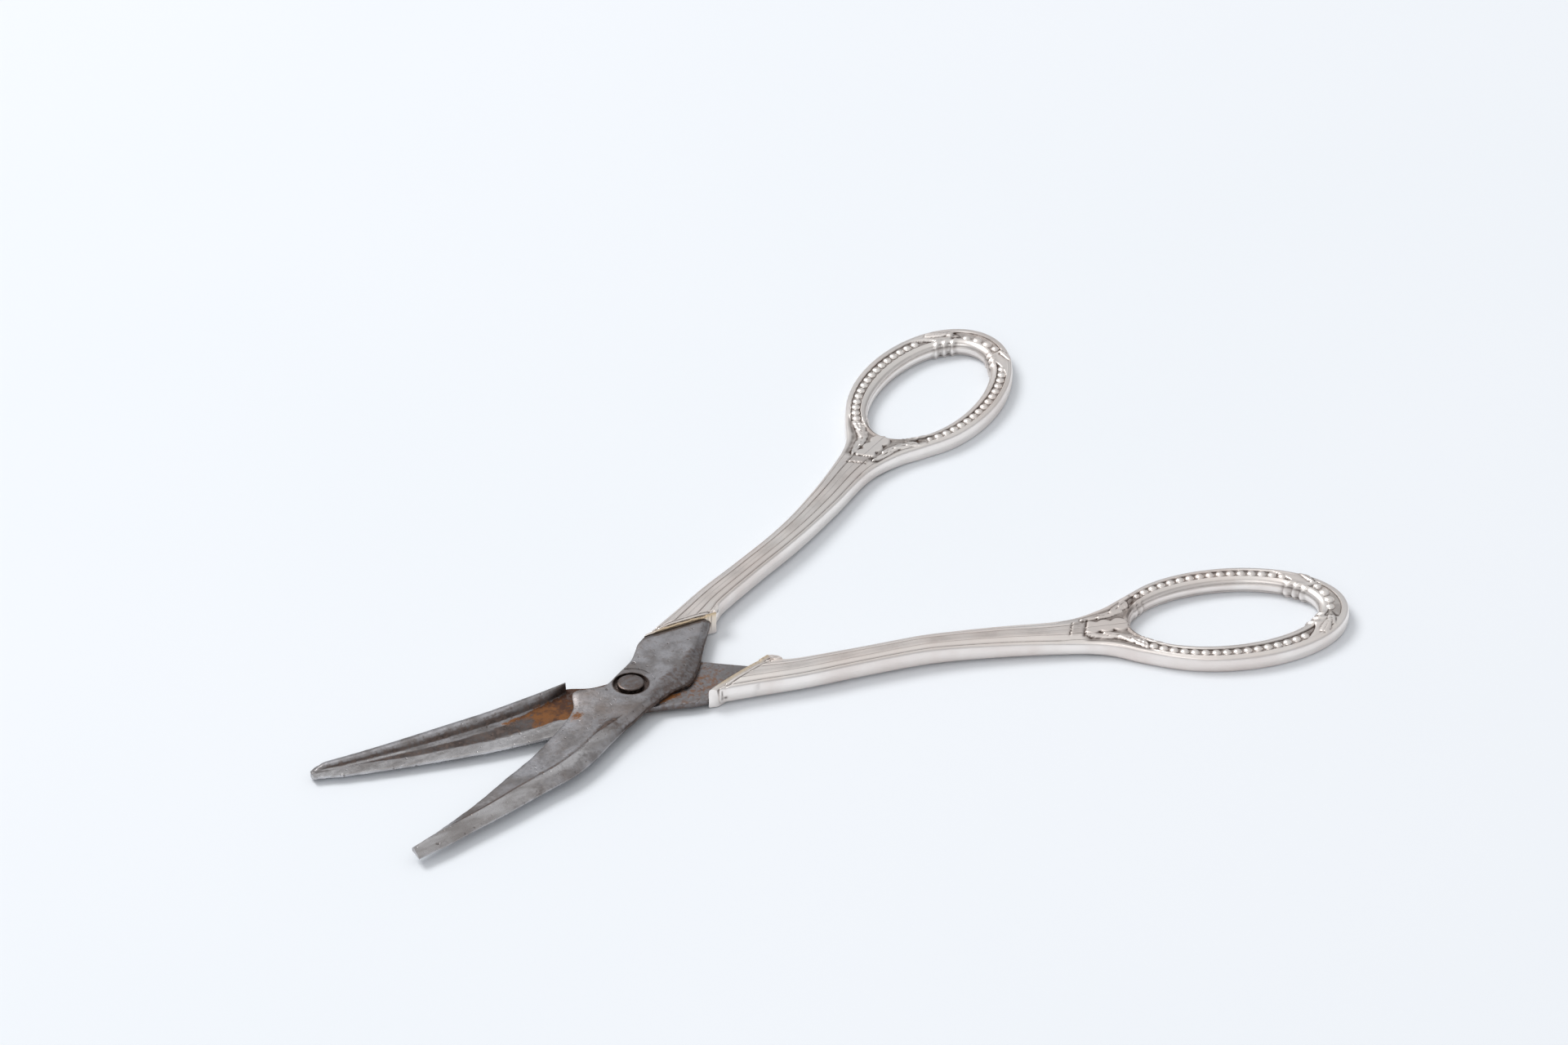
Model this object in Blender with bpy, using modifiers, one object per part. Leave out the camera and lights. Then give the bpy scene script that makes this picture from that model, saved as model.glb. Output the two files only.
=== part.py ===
"""Grape scissors with filled silver handles, lying on their side and open.

World frame: metres, +Z up, z = 0 is the surface they lie on. +X points from the blades to the finger
loops along the line that halves the angle between the two levers, and +Y to the upper lever's loop.

Each lever is drawn in its own flat frame in millimetres: x runs from the pivot along the handle, the
blade is at negative x, y points to the lever's outer side at the handle, and z is world height. The
lower lever's frame is the mirror image of the upper lever's.
"""

import math

import bmesh
import bpy
import numpy as np

MM = 0.001

# Pose at rest: each handle stands this far from the middle line, and the pivot is left of the middle.
REST_HALF_ANGLE = math.radians(23.7)
PIVOT_X = -26.94

# Heights of the steel: the two plates lap at the pivot and slide on each other.
LOWER_PLATE_BOTTOM = 0.55
LOWER_PLATE_TOP = 1.9
UPPER_PLATE_BOTTOM = 2.1
UPPER_PLATE_TOP = 3.5
TIP_DROOP = 0.6  # both blades sink this far from the pivot plates to the tips
DROOP_START = -8.0
DROOP_END = -52.0

# Pivot screw and its holes, radii.
SHANK_R = 1.45
UPPER_HOLE_R = 1.52
LOWER_HOLE_R = 1.51
HEAD_R = 2.12
COUNTERBORE_R = 2.8
COUNTERBORE_FLOOR = 2.75
HEAD_BOTTOM = 2.82
HEAD_TOP = 3.75

# Handle: slanted mouth, where the silver begins, as a line from its outer to its inner end.
MOUTH_OUTER = np.array([11.0, 4.9])
MOUTH_INNER = np.array([22.0, -2.2])
MOUTH_ALONG = (MOUTH_INNER - MOUTH_OUTER) / np.linalg.norm(MOUTH_INNER - MOUTH_OUTER)
MOUTH_NORMAL = np.array([-MOUTH_ALONG[1], MOUTH_ALONG[0]])
COLLAR_THICKNESS = 0.7
COLLAR_OVERHANG = 0.12
STEEL_GAP = 0.12
SHELL_FRONT = COLLAR_THICKNESS + 0.1
FILLING_FRONT = COLLAR_THICKNESS + 0.3

# Handle heights: a middle plane that sinks towards the loops, and half thicknesses.
MOUTH_MIDDLE = 2.12
LOOP_MIDDLE = 1.4
MOUTH_HALF = 1.78
LOOP_HALF = 1.4
TAPER_START = 47.0
TAPER_END = 80.0
SHOULDER_R = 0.7
SHELL_WALL = 0.45
SEAM_GAP = 0.1
INNER_GAP = 0.1

# Handle outline in plan: the two edges of the shaft, from the mouth to the crotch of the loop.
OUTER_EDGE = [
    (13.1, 4.55), (19.0, 4.15), (27.0, 3.75), (36.5, 2.65), (47.5, 1.75), (58.5, 2.35), (68.0, 3.6),
]
OUTER_FLARE = [(74.8, 5.1), (80.0, 8.1)]
INNER_FLARE = [(80.3, -6.6), (76.0, -4.2)]
INNER_EDGE = [(69.5, -2.5), (58.5, -2.75), (47.5, -2.6), (36.5, -1.65), (27.0, -1.0), (21.45, -0.9)]
LOOP_CENTRE = (95.8, 1.2)
LOOP_AXES = (19.1, 12.2)
LOOP_TILT = math.radians(3.4)
LOOP_FROM = math.radians(125)
HOLE_CENTRE = (95.1, 0.9)
HOLE_AXES = (15.4, 8.5)
HOLE_TILT = math.radians(2.0)
LOOP_POINTS = 30
EDGE_STEPS = 2  # outline points from one point of an edge to the next
HOLE_POINTS = 32

# Blades: one row a station, from the tip to the pivot plate's slanted end at the mouth.
# edge x, edge y, back x, back y, ridge's share of the way from edge to back, edge top z, ridge z
UPPER_STATIONS = [
    (-50.3, 7.6, -51.6, 5.5, 0.20, 2.10, 2.45),
    (-46.5, 6.7, -46.9, 3.6, 0.20, 2.15, 2.60),
    (-42.0, 5.9, -42.0, 2.0, 0.33, 2.20, 2.72),
    (-36.2, 5.0, -36.2, 0.0, 0.46, 2.30, 2.88),
    (-29.0, 4.4, -29.0, -2.2, 0.56, 2.42, 3.06),
    (-23.0, 3.75, -23.0, -4.1, 0.62, 2.60, 3.20),
    (-18.0, 3.75, -18.0, -4.7, 0.67, 2.70, 3.33),
    (-13.3, 3.95, -13.3, -4.7, 0.70, 2.85, 3.43),
    (-9.5, 4.6, -9.5, -4.75, 0.80, 3.00, 3.50),
    (-6.3, 6.6, -6.3, -5.0, 0.87, 3.30, 3.50),
    (-4.3, 4.8, -4.3, -5.0, 0.85, 3.50, 3.50),
    (-2.4, 3.2, -2.0, -5.3, 0.83, 3.50, 3.50),
    (1.5, 3.1, 2.4, -6.1, 0.81, 3.50, 3.50),
    (5.0, 3.15, 6.0, -7.3, 0.79, 3.50, 3.50),
    (7.6, 3.9, 10.5, -6.1, 0.80, 3.50, 3.50),
    (9.3, 4.5, 15.0, -4.15, 0.85, 3.50, 3.50),
]
# edge x, edge y, back x, back y, bottom z at the back
LOWER_STATIONS = [
    (-51.4, 10.3, -51.7, 8.7, 0.35),
    (-49.4, 10.4, -50.2, 7.5, 0.10),
    (-45.7, 10.7, -46.5, 6.75, 0.0),
    (-36.8, 10.6, -36.8, 4.6, 0.10),
    (-30.4, 10.35, -30.4, 3.0, 0.20),
    (-24.0, 10.0, -24.0, 1.45, 0.32),
    (-17.5, 9.2, -17.5, -0.5, 0.43),
    (-13.5, 8.6, -13.5, -1.75, 0.50),
    (-9.9, 8.0, -9.9, -2.75, 0.55),
    (-6.0, 6.9, -6.0, -2.2, 0.55),
    (-2.5, 5.5, -2.5, -2.9, 0.55),
    (1.0, 4.75, 2.4, -4.6, 0.55),
    (4.5, 4.75, 6.2, -6.5, 0.55),
    (7.5, 4.85, 10.5, -5.9, 0.55),
    (9.3, 4.9, 15.0, -4.1, 0.55),
]
LOWER_EDGE_THICKNESS = 0.45
LOWER_EDGE_THICKENING = 0.5  # more at the pivot plate
# Shares of the way across the plates where their sections turn, and of their height
FLANK_SHARE = 0.45
FLANK_DROP = 0.28
BACK_RISE = 0.3
LOWER_BACK_RISE = 0.35
LOWER_CHAMFER_SHARE = 0.06
LOWER_KNEE_SHARE = 0.55
UPPER_END_RIDGE = 0.9
# The gripping wall along the lower blade's back: x, outer y, inner y at its foot, rim z
WALL_STATIONS = [
    (-51.1, 8.55, 9.6, 1.60),
    (-49.5, 7.40, 9.2, 1.95),
    (-46.5, 6.77, 8.75, 2.10),
    (-42.5, 5.95, 8.1, 2.25),
    (-36.0, 4.42, 7.0, 2.50),
    (-29.5, 2.80, 5.55, 2.75),
    (-23.0, 1.22, 3.95, 3.00),
    (-17.5, -0.48, 2.2, 3.20),
    (-13.4, -1.76, 0.5, 3.35),
    (-9.9, -2.73, -1.75, 3.50),
]
WALL_ROOT = 0.4  # how deep the wall's body reaches into the plate
# The wall's section: share of its width from the outer face, share of its height
WALL_PROFILE = [(0.0, 0.45), (0.16, 0.86), (0.36, 1.0), (0.58, 0.92), (0.8, 0.5), (0.93, 0.14)]

# Tang: x, centre y, half width, bottom z and top z of the upper lever's, slant of the section
TANG_STATIONS = [
    (15.6, 1.7, 1.2, 2.25, 3.05, -1.55),
    (16.6, 1.65, 1.2, 2.25, 3.05, -1.55),
    (22.0, 1.55, 1.15, 1.95, 2.85, -0.6),
    (30.0, 1.15, 1.0, 1.40, 2.45, 0.0),
    (44.0, -0.15, 0.8, 1.30, 2.15, 0.0),
    (56.0, -0.25, 0.5, 1.35, 1.90, 0.0),
]
LOWER_TANG_ROOT = (0.95, 1.75)
LOWER_TANG_BEND = (1.25, 2.15)
TANG_FIT = 0.1

UPPER, LOWER = 1, -1


def fresh_scene():
    for thing in list(bpy.data.objects):
        bpy.data.objects.remove(thing, do_unlink=True)
    for name in ("grape_scissors", "cutters"):
        group = bpy.data.collections.new(name)
        bpy.context.scene.collection.children.link(group)
    bpy.data.collections["cutters"].hide_render = True


def metal(name, colour, roughness, metallic=1.0):
    made = bpy.data.materials.new(name)
    made.use_nodes = True
    shader = made.node_tree.nodes["Principled BSDF"]
    shader.inputs["Base Color"].default_value = (*colour, 1.0)
    shader.inputs["Roughness"].default_value = roughness
    shader.inputs["Metallic"].default_value = metallic
    return made


def smooth_rows(rows, steps):
    """Catmull-Rom curve through the rows, with this many steps from each row to the next."""
    rows = np.array(rows, float)
    padded = np.vstack([2 * rows[0] - rows[1], rows, 2 * rows[-1] - rows[-2]])
    found = []
    for i in range(len(rows) - 1):
        a, b, c, d = padded[i : i + 4]
        for t in np.arange(steps) / steps:
            found.append(
                b + 0.5 * t * (c - a + t * (2 * a - 5 * b + 4 * c - d + t * (3 * (b - c) + d - a)))
            )
    return np.vstack([found, rows[-1:]])


def ramp(x, start, end, low, high):
    """low at start and high at end, straight between them and level outside."""
    share = min(max((x - start) / (end - start), 0.0), 1.0)
    return low + share * (high - low)


def droop(x):
    return ramp(x, DROOP_START, DROOP_END, 0.0, TIP_DROOP)


def object_from(name, mesh_data, collection):
    made = bpy.data.objects.new(name, mesh_data)
    bpy.data.collections[collection].objects.link(made)
    return made


def loft(name, sections, side, collection="cutters"):
    """A closed body through rings of points given in millimetres in a lever's frame."""
    bm = bmesh.new()
    rings = [[bm.verts.new((x * MM, side * y * MM, z * MM)) for x, y, z in ring] for ring in sections]
    for near, far in zip(rings, rings[1:]):
        for i in range(len(near)):
            j = (i + 1) % len(near)
            bm.faces.new((near[i], near[j], far[j], far[i]))
    bm.faces.new(rings[0])
    bm.faces.new(rings[-1])
    bmesh.ops.recalc_face_normals(bm, faces=bm.faces)
    data = bpy.data.meshes.new(name)
    bm.to_mesh(data)
    bm.free()
    return object_from(name, data, collection)


def cylinder(name, radius, low, high, collection="cutters", segments=40):
    bm = bmesh.new()
    bmesh.ops.create_cone(
        bm,
        cap_ends=True,
        segments=segments,
        radius1=radius * MM,
        radius2=radius * MM,
        depth=(high - low) * MM,
    )
    bmesh.ops.translate(bm, verts=bm.verts, vec=(0, 0, (low + high) / 2 * MM))
    data = bpy.data.meshes.new(name)
    bm.to_mesh(data)
    bm.free()
    return object_from(name, data, collection)


def combine(target, other, operation):
    """Applies a Boolean to target's mesh and puts the other object away."""
    modifier = target.modifiers.new(other.name, "BOOLEAN")
    modifier.object = other
    modifier.operation = operation
    modifier.solver = "EXACT"
    graph = bpy.context.evaluated_depsgraph_get()
    graph.update()
    data = bpy.data.meshes.new_from_object(target.evaluated_get(graph))
    target.modifiers.clear()
    target.data = data
    bpy.data.objects.remove(other, do_unlink=True)


def finish(thing, name, material, empty):
    """Names the finished piece, gives it its material and hangs it on its lever's pivot."""
    thing.name = name
    thing.data.name = name
    thing.data.materials.clear()
    thing.data.materials.append(material)
    for group in list(thing.users_collection):
        group.objects.unlink(thing)
    bpy.data.collections["grape_scissors"].objects.link(thing)
    thing.parent = empty
    bm = bmesh.new()
    bm.from_mesh(thing.data)
    bmesh.ops.remove_doubles(bm, verts=bm.verts, dist=1e-7)
    bmesh.ops.recalc_face_normals(bm, faces=bm.faces)
    bm.to_mesh(thing.data)
    bm.free()
    thing.data.shade_smooth()
    thing.data.set_sharp_from_angle(angle=math.radians(35))
    return thing


def mouth_point(along, into):
    """A point at the mouth: along it from its outer end, and into the handle."""
    return MOUTH_OUTER + along * MOUTH_ALONG + into * MOUTH_NORMAL


# ---------------------------------------------------------------- steel levers


def end_row():
    """Where a pivot plate ends, just short of the collar: edge x, edge y, back x, back y."""
    length = np.linalg.norm(MOUTH_INNER - MOUTH_OUTER)
    return (*mouth_point(0.25, -STEEL_GAP), *mouth_point(length - 1.0, -STEEL_GAP))


def upper_section(row):
    edge, back, share, edge_z, ridge_z = row[0:2], row[2:4], row[4], row[5], row[6]
    bottom = UPPER_PLATE_BOTTOM - droop((edge[0] + back[0]) / 2)
    ridge = edge + share * (back - edge)
    flank = edge + (share + FLANK_SHARE * (1 - share)) * (back - edge)
    flank_z = ridge_z - FLANK_DROP * (ridge_z - bottom)
    heel_z = bottom + BACK_RISE * (ridge_z - bottom)
    return [
        (*edge, bottom),
        (*edge, edge_z),
        (*ridge, ridge_z),
        (*flank, flank_z),
        (*back, heel_z),
        (*back, bottom),
    ]


def lower_section(row):
    edge, back, bottom = row[0:2], row[2:4], row[4]
    top = LOWER_PLATE_TOP - droop((edge[0] + back[0]) / 2)
    thickness = LOWER_EDGE_THICKNESS + ramp(edge[0], -12, 0, 0, LOWER_EDGE_THICKENING)
    knee = back + LOWER_KNEE_SHARE * (edge - back)
    shoulder = back + LOWER_CHAMFER_SHARE * (edge - back)
    return [
        (*edge, top),
        (*back, top),
        (*back, bottom + LOWER_BACK_RISE),
        (*shoulder, bottom),
        (*knee, bottom),
        (*edge, max(top - thickness, bottom)),
    ]


def wall_section(row):
    x, outer, inner, rim = row
    top = LOWER_PLATE_TOP - droop(x)
    root = top - WALL_ROOT
    width = inner - outer
    height = rim - top
    points = [(x, outer + share * width, top + rise * height) for share, rise in WALL_PROFILE]
    return [(x, outer, root), *points, (x, inner, top), (x, inner, root)]


def tang(side, grow):
    """The prong of the lever inside its handle, or its pocket when grown."""
    rows = np.array(TANG_STATIONS)
    if side == LOWER:
        rows[0:2, 3:5] = LOWER_TANG_ROOT
        rows[2, 3:5] = LOWER_TANG_BEND
    sections = []
    for x, y, half, low, high, slant in rows:
        half, low, high = half + grow, low - grow, high + grow
        corners = [(-half, low), (half, low), (half, high), (-half, high)]
        sections.append([(x + slant * v, y + v, z) for v, z in corners])
    if grow:
        first, last = np.array(sections[0]), np.array(sections[-1])
        sections[0] = [tuple(p) for p in first - [2.0, 0, 0]]
        sections[-1] = [tuple(p) for p in last + [grow, 0, 0]]
    return loft("tang", sections, side)


def steel_lever(side, name, material, empty):
    if side == UPPER:
        rows = [*UPPER_STATIONS, (*end_row(), UPPER_END_RIDGE, UPPER_PLATE_TOP, UPPER_PLATE_TOP)]
        lever = loft(name, [upper_section(row) for row in smooth_rows(rows, 3)], side)
    else:
        rows = [*LOWER_STATIONS, (*end_row(), LOWER_PLATE_BOTTOM)]
        lever = loft(name, [lower_section(row) for row in smooth_rows(rows, 3)], side)
        wall = loft("wall", [wall_section(row) for row in smooth_rows(WALL_STATIONS, 3)], side)
        combine(lever, wall, "UNION")
    combine(lever, tang(side, 0.0), "UNION")
    if side == UPPER:
        combine(lever, cylinder("hole", UPPER_HOLE_R, 0, 5), "DIFFERENCE")
        combine(lever, cylinder("counterbore", COUNTERBORE_R, COUNTERBORE_FLOOR, 5), "DIFFERENCE")
    else:
        combine(lever, cylinder("hole", LOWER_HOLE_R, -1, 5), "DIFFERENCE")
    return finish(lever, name, material, empty)


def pivot_screw(material, empty):
    """A turned screw: domed head in the upper plate's counterbore, shank down through the lower plate."""
    profile = [
        (0.0, HEAD_TOP),
        (HEAD_R * 0.6, HEAD_TOP - 0.03),
        (HEAD_R * 0.93, HEAD_TOP - 0.12),
        (HEAD_R, HEAD_TOP - 0.3),
        (HEAD_R, HEAD_BOTTOM),
        (SHANK_R, HEAD_BOTTOM),
        (SHANK_R, LOWER_PLATE_BOTTOM - 0.05),
        (0.0, LOWER_PLATE_BOTTOM - 0.05),
    ]
    data = bpy.data.meshes.new("screw_profile")
    places = [(radius * MM, 0, height * MM) for radius, height in profile]
    data.from_pydata(places, [(i, i + 1) for i in range(len(places) - 1)], [])
    screw = object_from("screw", data, "cutters")
    turned = screw.modifiers.new("Turn", "SCREW")
    turned.steps = turned.render_steps = 40
    turned.use_merge_vertices = True
    turned.merge_threshold = 1e-6
    graph = bpy.context.evaluated_depsgraph_get()
    graph.update()
    screw.data = bpy.data.meshes.new_from_object(screw.evaluated_get(graph))
    screw.modifiers.clear()
    return finish(screw, "pivot_screw", material, empty)


# ---------------------------------------------------------------- silver handles


def ellipse(centre, axes, tilt, angles):
    turned = []
    for angle in angles:
        u, v = axes[0] * math.cos(angle), axes[1] * math.sin(angle)
        turned.append(
            (
                centre[0] + u * math.cos(tilt) - v * math.sin(tilt),
                centre[1] + u * math.sin(tilt) + v * math.cos(tilt),
            )
        )
    return turned


def slide_along(end, beside, into):
    """An end point of an edge moved along that edge by a distance measured square to the mouth."""
    run = np.subtract(beside, end)
    moved = np.array(end) + run * into / np.dot(run, MOUTH_NORMAL)
    return tuple(moved)


def handle_outline(front, steps):
    """The handle's outline in plan, starting this far behind the mouth, as one closed list of points."""
    angles = np.linspace(LOOP_FROM, -LOOP_FROM, LOOP_POINTS)
    arc = ellipse(LOOP_CENTRE, LOOP_AXES, LOOP_TILT, angles)
    outer, inner = list(OUTER_EDGE), list(INNER_EDGE)
    outer[0] = slide_along(outer[0], outer[1], front - SHELL_FRONT)
    inner[-1] = slide_along(inner[-1], inner[-2], front - SHELL_FRONT)
    first = smooth_rows([*outer, *OUTER_FLARE, arc[0], arc[2]], steps)[: -steps - 1]
    last = smooth_rows([arc[-3], arc[-1], *INNER_FLARE, *inner], steps)[steps + 1 :]
    return [*map(tuple, first), *arc, *map(tuple, last)]


def middle_plane(x):
    return ramp(x, TAPER_START, TAPER_END, MOUTH_MIDDLE, LOOP_MIDDLE)


def half_thickness(x):
    return ramp(x, TAPER_START, TAPER_END, MOUTH_HALF, LOOP_HALF)


def handle_body(name, side, inset, front):
    """The whole handle, inset all over, lying on its middle plane at the loop's thickness."""
    around = np.linspace(0, -2 * math.pi, HOLE_POINTS, endpoint=False)
    hole = ellipse(HOLE_CENTRE, HOLE_AXES, HOLE_TILT, around)
    curve = bpy.data.curves.new(name, "CURVE")
    curve.dimensions = "2D"
    curve.fill_mode = "BOTH"
    rounding = SHOULDER_R if not inset else SHOULDER_R * 0.6
    curve.bevel_depth = rounding * MM
    curve.bevel_resolution = 1
    curve.extrude = (LOOP_HALF - inset - rounding) * MM
    curve.offset = -(rounding + inset) * MM
    for points in (handle_outline(front, EDGE_STEPS), hole):
        spline = curve.splines.new("POLY")
        spline.points.add(len(points) - 1)
        spline.use_cyclic_u = True
        for point, (x, y) in zip(spline.points, points):
            point.co = (x * MM, y * MM, 0, 1)
    outline = object_from(name, curve, "cutters")
    graph = bpy.context.evaluated_depsgraph_get()
    graph.update()
    data = bpy.data.meshes.new_from_object(outline.evaluated_get(graph))
    bpy.data.objects.remove(outline, do_unlink=True)
    bm = bmesh.new()
    bm.from_mesh(data)
    bmesh.ops.remove_doubles(bm, verts=bm.verts, dist=1e-7)
    if side == LOWER:
        bmesh.ops.scale(bm, verts=bm.verts, vec=(1, -1, 1))
        bmesh.ops.reverse_faces(bm, faces=bm.faces)
    bm.to_mesh(data)
    bm.free()
    return object_from(name, data, "cutters")


def slab(name, low, high):
    """A wide block between two heights, for keeping one half of a handle."""
    bm = bmesh.new()
    bmesh.ops.create_cube(bm, size=1)
    bmesh.ops.scale(bm, verts=bm.verts, vec=(400 * MM, 200 * MM, (high - low) * MM))
    bmesh.ops.translate(bm, verts=bm.verts, vec=(0, 0, (low + high) / 2 * MM))
    data = bpy.data.meshes.new(name)
    bm.to_mesh(data)
    bm.free()
    return object_from(name, data, "cutters")


def to_true_heights(thing):
    """Moves a flat handle piece onto the sinking middle plane, thicker towards the mouth."""
    bm = bmesh.new()
    bm.from_mesh(thing.data)
    for bend in (TAPER_START, TAPER_END):
        everything = [*bm.verts, *bm.edges, *bm.faces]
        at = (bend * MM, 0, 0)
        bmesh.ops.bisect_plane(bm, geom=everything, dist=1e-8, plane_co=at, plane_no=(1, 0, 0))
    for vertex in bm.verts:
        x = vertex.co.x / MM
        vertex.co.z = vertex.co.z * half_thickness(x) / LOOP_HALF + middle_plane(x) * MM
    bm.to_mesh(thing.data)
    bm.free()


def shell(side, top, name, material, empty):
    body = handle_body(name, side, 0.0, SHELL_FRONT)
    combine(body, handle_body("cavity", side, SHELL_WALL, SHELL_FRONT - 6.0), "DIFFERENCE")
    if top:
        combine(body, slab("lower_half", -5.0, SEAM_GAP / 2), "DIFFERENCE")
    else:
        combine(body, slab("upper_half", -SEAM_GAP / 2, 5.0), "DIFFERENCE")
    to_true_heights(body)
    return finish(body, name, material, empty)


def filling(side, name, material, empty):
    """The set pitch inside a handle, with the pocket that holds the tang."""
    body = handle_body(name, side, SHELL_WALL + INNER_GAP, FILLING_FRONT)
    to_true_heights(body)
    combine(body, tang(side, TANG_FIT), "DIFFERENCE")
    return finish(body, name, material, empty)


def collar(side, name, material, empty):
    """The strip that closes the mouth round the tang, its inner end standing out as a small wing."""
    length = np.linalg.norm(MOUTH_INNER - MOUTH_OUTER)
    corners = [
        mouth_point(-0.2, 0.0),
        mouth_point(length, 0.0),
        mouth_point(length + 0.3, COLLAR_THICKNESS),
        mouth_point(0.3, COLLAR_THICKNESS),
    ]
    low = MOUTH_MIDDLE - MOUTH_HALF - COLLAR_OVERHANG
    high = MOUTH_MIDDLE + MOUTH_HALF + COLLAR_OVERHANG
    strip = loft(name, [[(*corner, z) for corner in corners] for z in (low, high)], side)
    combine(strip, tang(side, TANG_FIT), "DIFFERENCE")
    return finish(strip, name, material, empty)


def build():
    fresh_scene()
    steel = metal("worn_steel", (0.33, 0.31, 0.30), 0.45)
    screw_steel = metal("screw_steel", (0.27, 0.23, 0.21), 0.5)
    silver = metal("silver", (0.78, 0.75, 0.71), 0.28)
    pitch = metal("pitch_filling", (0.10, 0.07, 0.05), 0.8, 0.0)
    for side, lever in ((UPPER, "upper"), (LOWER, "lower")):
        empty = object_from(lever + "_lever_pivot", None, "grape_scissors")
        empty.location = (PIVOT_X * MM, 0, 0)
        empty.rotation_euler = (0, 0, side * REST_HALF_ANGLE)
        steel_lever(side, lever + "_blade", steel, empty)
        shell(side, True, lever + "_handle_top_shell", silver, empty)
        shell(side, False, lever + "_handle_bottom_shell", silver, empty)
        filling(side, lever + "_handle_filling", pitch, empty)
        collar(side, lever + "_handle_collar", silver, empty)
        if side == LOWER:
            pivot_screw(screw_steel, empty)


build()
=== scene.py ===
"""Grape scissors with reeded and beaded silver handles: the looks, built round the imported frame.

Every lever is drawn in its own flat frame in millimetres, as in the CAD: x runs from the pivot along
the handle, the blade is at negative x, y points to the lever's outer side, and z is world height. The
lower lever is the upper lever's mirror image, on its side of the middle line.
"""

import math

import bmesh
import bpy
import numpy as np
from mathutils import Matrix, Vector


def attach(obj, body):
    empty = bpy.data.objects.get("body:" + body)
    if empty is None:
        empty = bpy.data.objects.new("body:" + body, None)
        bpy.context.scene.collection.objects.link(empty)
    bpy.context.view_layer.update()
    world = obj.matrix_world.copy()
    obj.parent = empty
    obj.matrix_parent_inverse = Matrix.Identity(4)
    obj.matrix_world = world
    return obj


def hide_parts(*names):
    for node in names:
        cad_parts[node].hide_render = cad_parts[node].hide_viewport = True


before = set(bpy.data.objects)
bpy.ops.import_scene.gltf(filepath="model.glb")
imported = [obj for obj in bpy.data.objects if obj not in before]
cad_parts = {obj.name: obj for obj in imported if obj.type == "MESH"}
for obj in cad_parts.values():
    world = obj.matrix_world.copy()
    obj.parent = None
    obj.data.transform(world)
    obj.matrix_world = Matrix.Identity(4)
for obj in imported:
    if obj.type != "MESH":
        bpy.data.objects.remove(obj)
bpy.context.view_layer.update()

MM = 0.001
UPPER, LOWER = 1, -1
REST_HALF_ANGLE = math.radians(23.7)
PIVOT_X = -26.94

# ---- dimensions of the levers

LOWER_PLATE_BOTTOM = 0.55
LOWER_PLATE_TOP = 1.9
UPPER_PLATE_BOTTOM = 2.1
UPPER_PLATE_TOP = 3.5
TIP_DROOP = 0.6
DROOP_START, DROOP_END = -8.0, -52.0

SHANK_R = 1.45
HOLE_R = 1.51
HEAD_R = 2.12
COUNTERBORE_R = 2.8
COUNTERBORE_FLOOR = 2.75
HEAD_BOTTOM = 2.82
HEAD_TOP = 3.75
SPOT_FACE_R = 3.9
SPOT_FACE_FLOOR = 3.42

MOUTH_OUTER = np.array([11.0, 4.9])
MOUTH_INNER = np.array([22.0, -2.2])
MOUTH_LENGTH = float(np.linalg.norm(MOUTH_INNER - MOUTH_OUTER))
MOUTH_ALONG = (MOUTH_INNER - MOUTH_OUTER) / MOUTH_LENGTH
MOUTH_NORMAL = np.array([-MOUTH_ALONG[1], MOUTH_ALONG[0]])
SHELL_FRONT = 0.8
BAND_END = 0.45
STEEL_GAP = 0.12
WORN_EDGE = 0.09

MOUTH_MIDDLE, LOOP_MIDDLE = 2.12, 1.4
MOUTH_HALF, LOOP_HALF = 1.78, 1.4
TAPER_START, TAPER_END = 47.0, 80.0
SEAM_GAP = 0.006
SEAM_LIP = 0.25
SILVER_WALL = 0.3

OUTER_EDGE = [
    (13.1, 4.55), (19.0, 4.15), (27.0, 3.75), (36.5, 2.65), (47.5, 1.75), (58.5, 2.35), (68.0, 3.6),
    (74.8, 5.1), (80.0, 8.1),
]
INNER_EDGE = [
    (22.5, -1.6), (24.2, -1.25), (27.0, -1.0), (36.5, -1.65), (47.5, -2.6), (58.5, -2.75), (69.5, -2.5),
    (76.0, -4.2), (80.3, -6.6),
]
MIDDLE_LINE = [
    (17.8, 1.5), (22.0, 1.5), (27.0, 1.37), (36.5, 0.5), (47.5, -0.42), (58.5, -0.2), (68.0, 0.52),
    (74.0, 0.5),
]
# Centre, half axes and tilt of the loop's outer edge and of the finger hole.
LOOP = ((95.8, 1.2), (19.1, 12.2), math.radians(3.4))
HOLE = ((95.1, 0.9), (15.4, 8.5), math.radians(2.0))
LOOP_FROM = math.radians(125)
LOOP_NEXT = math.radians(107.8)

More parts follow.
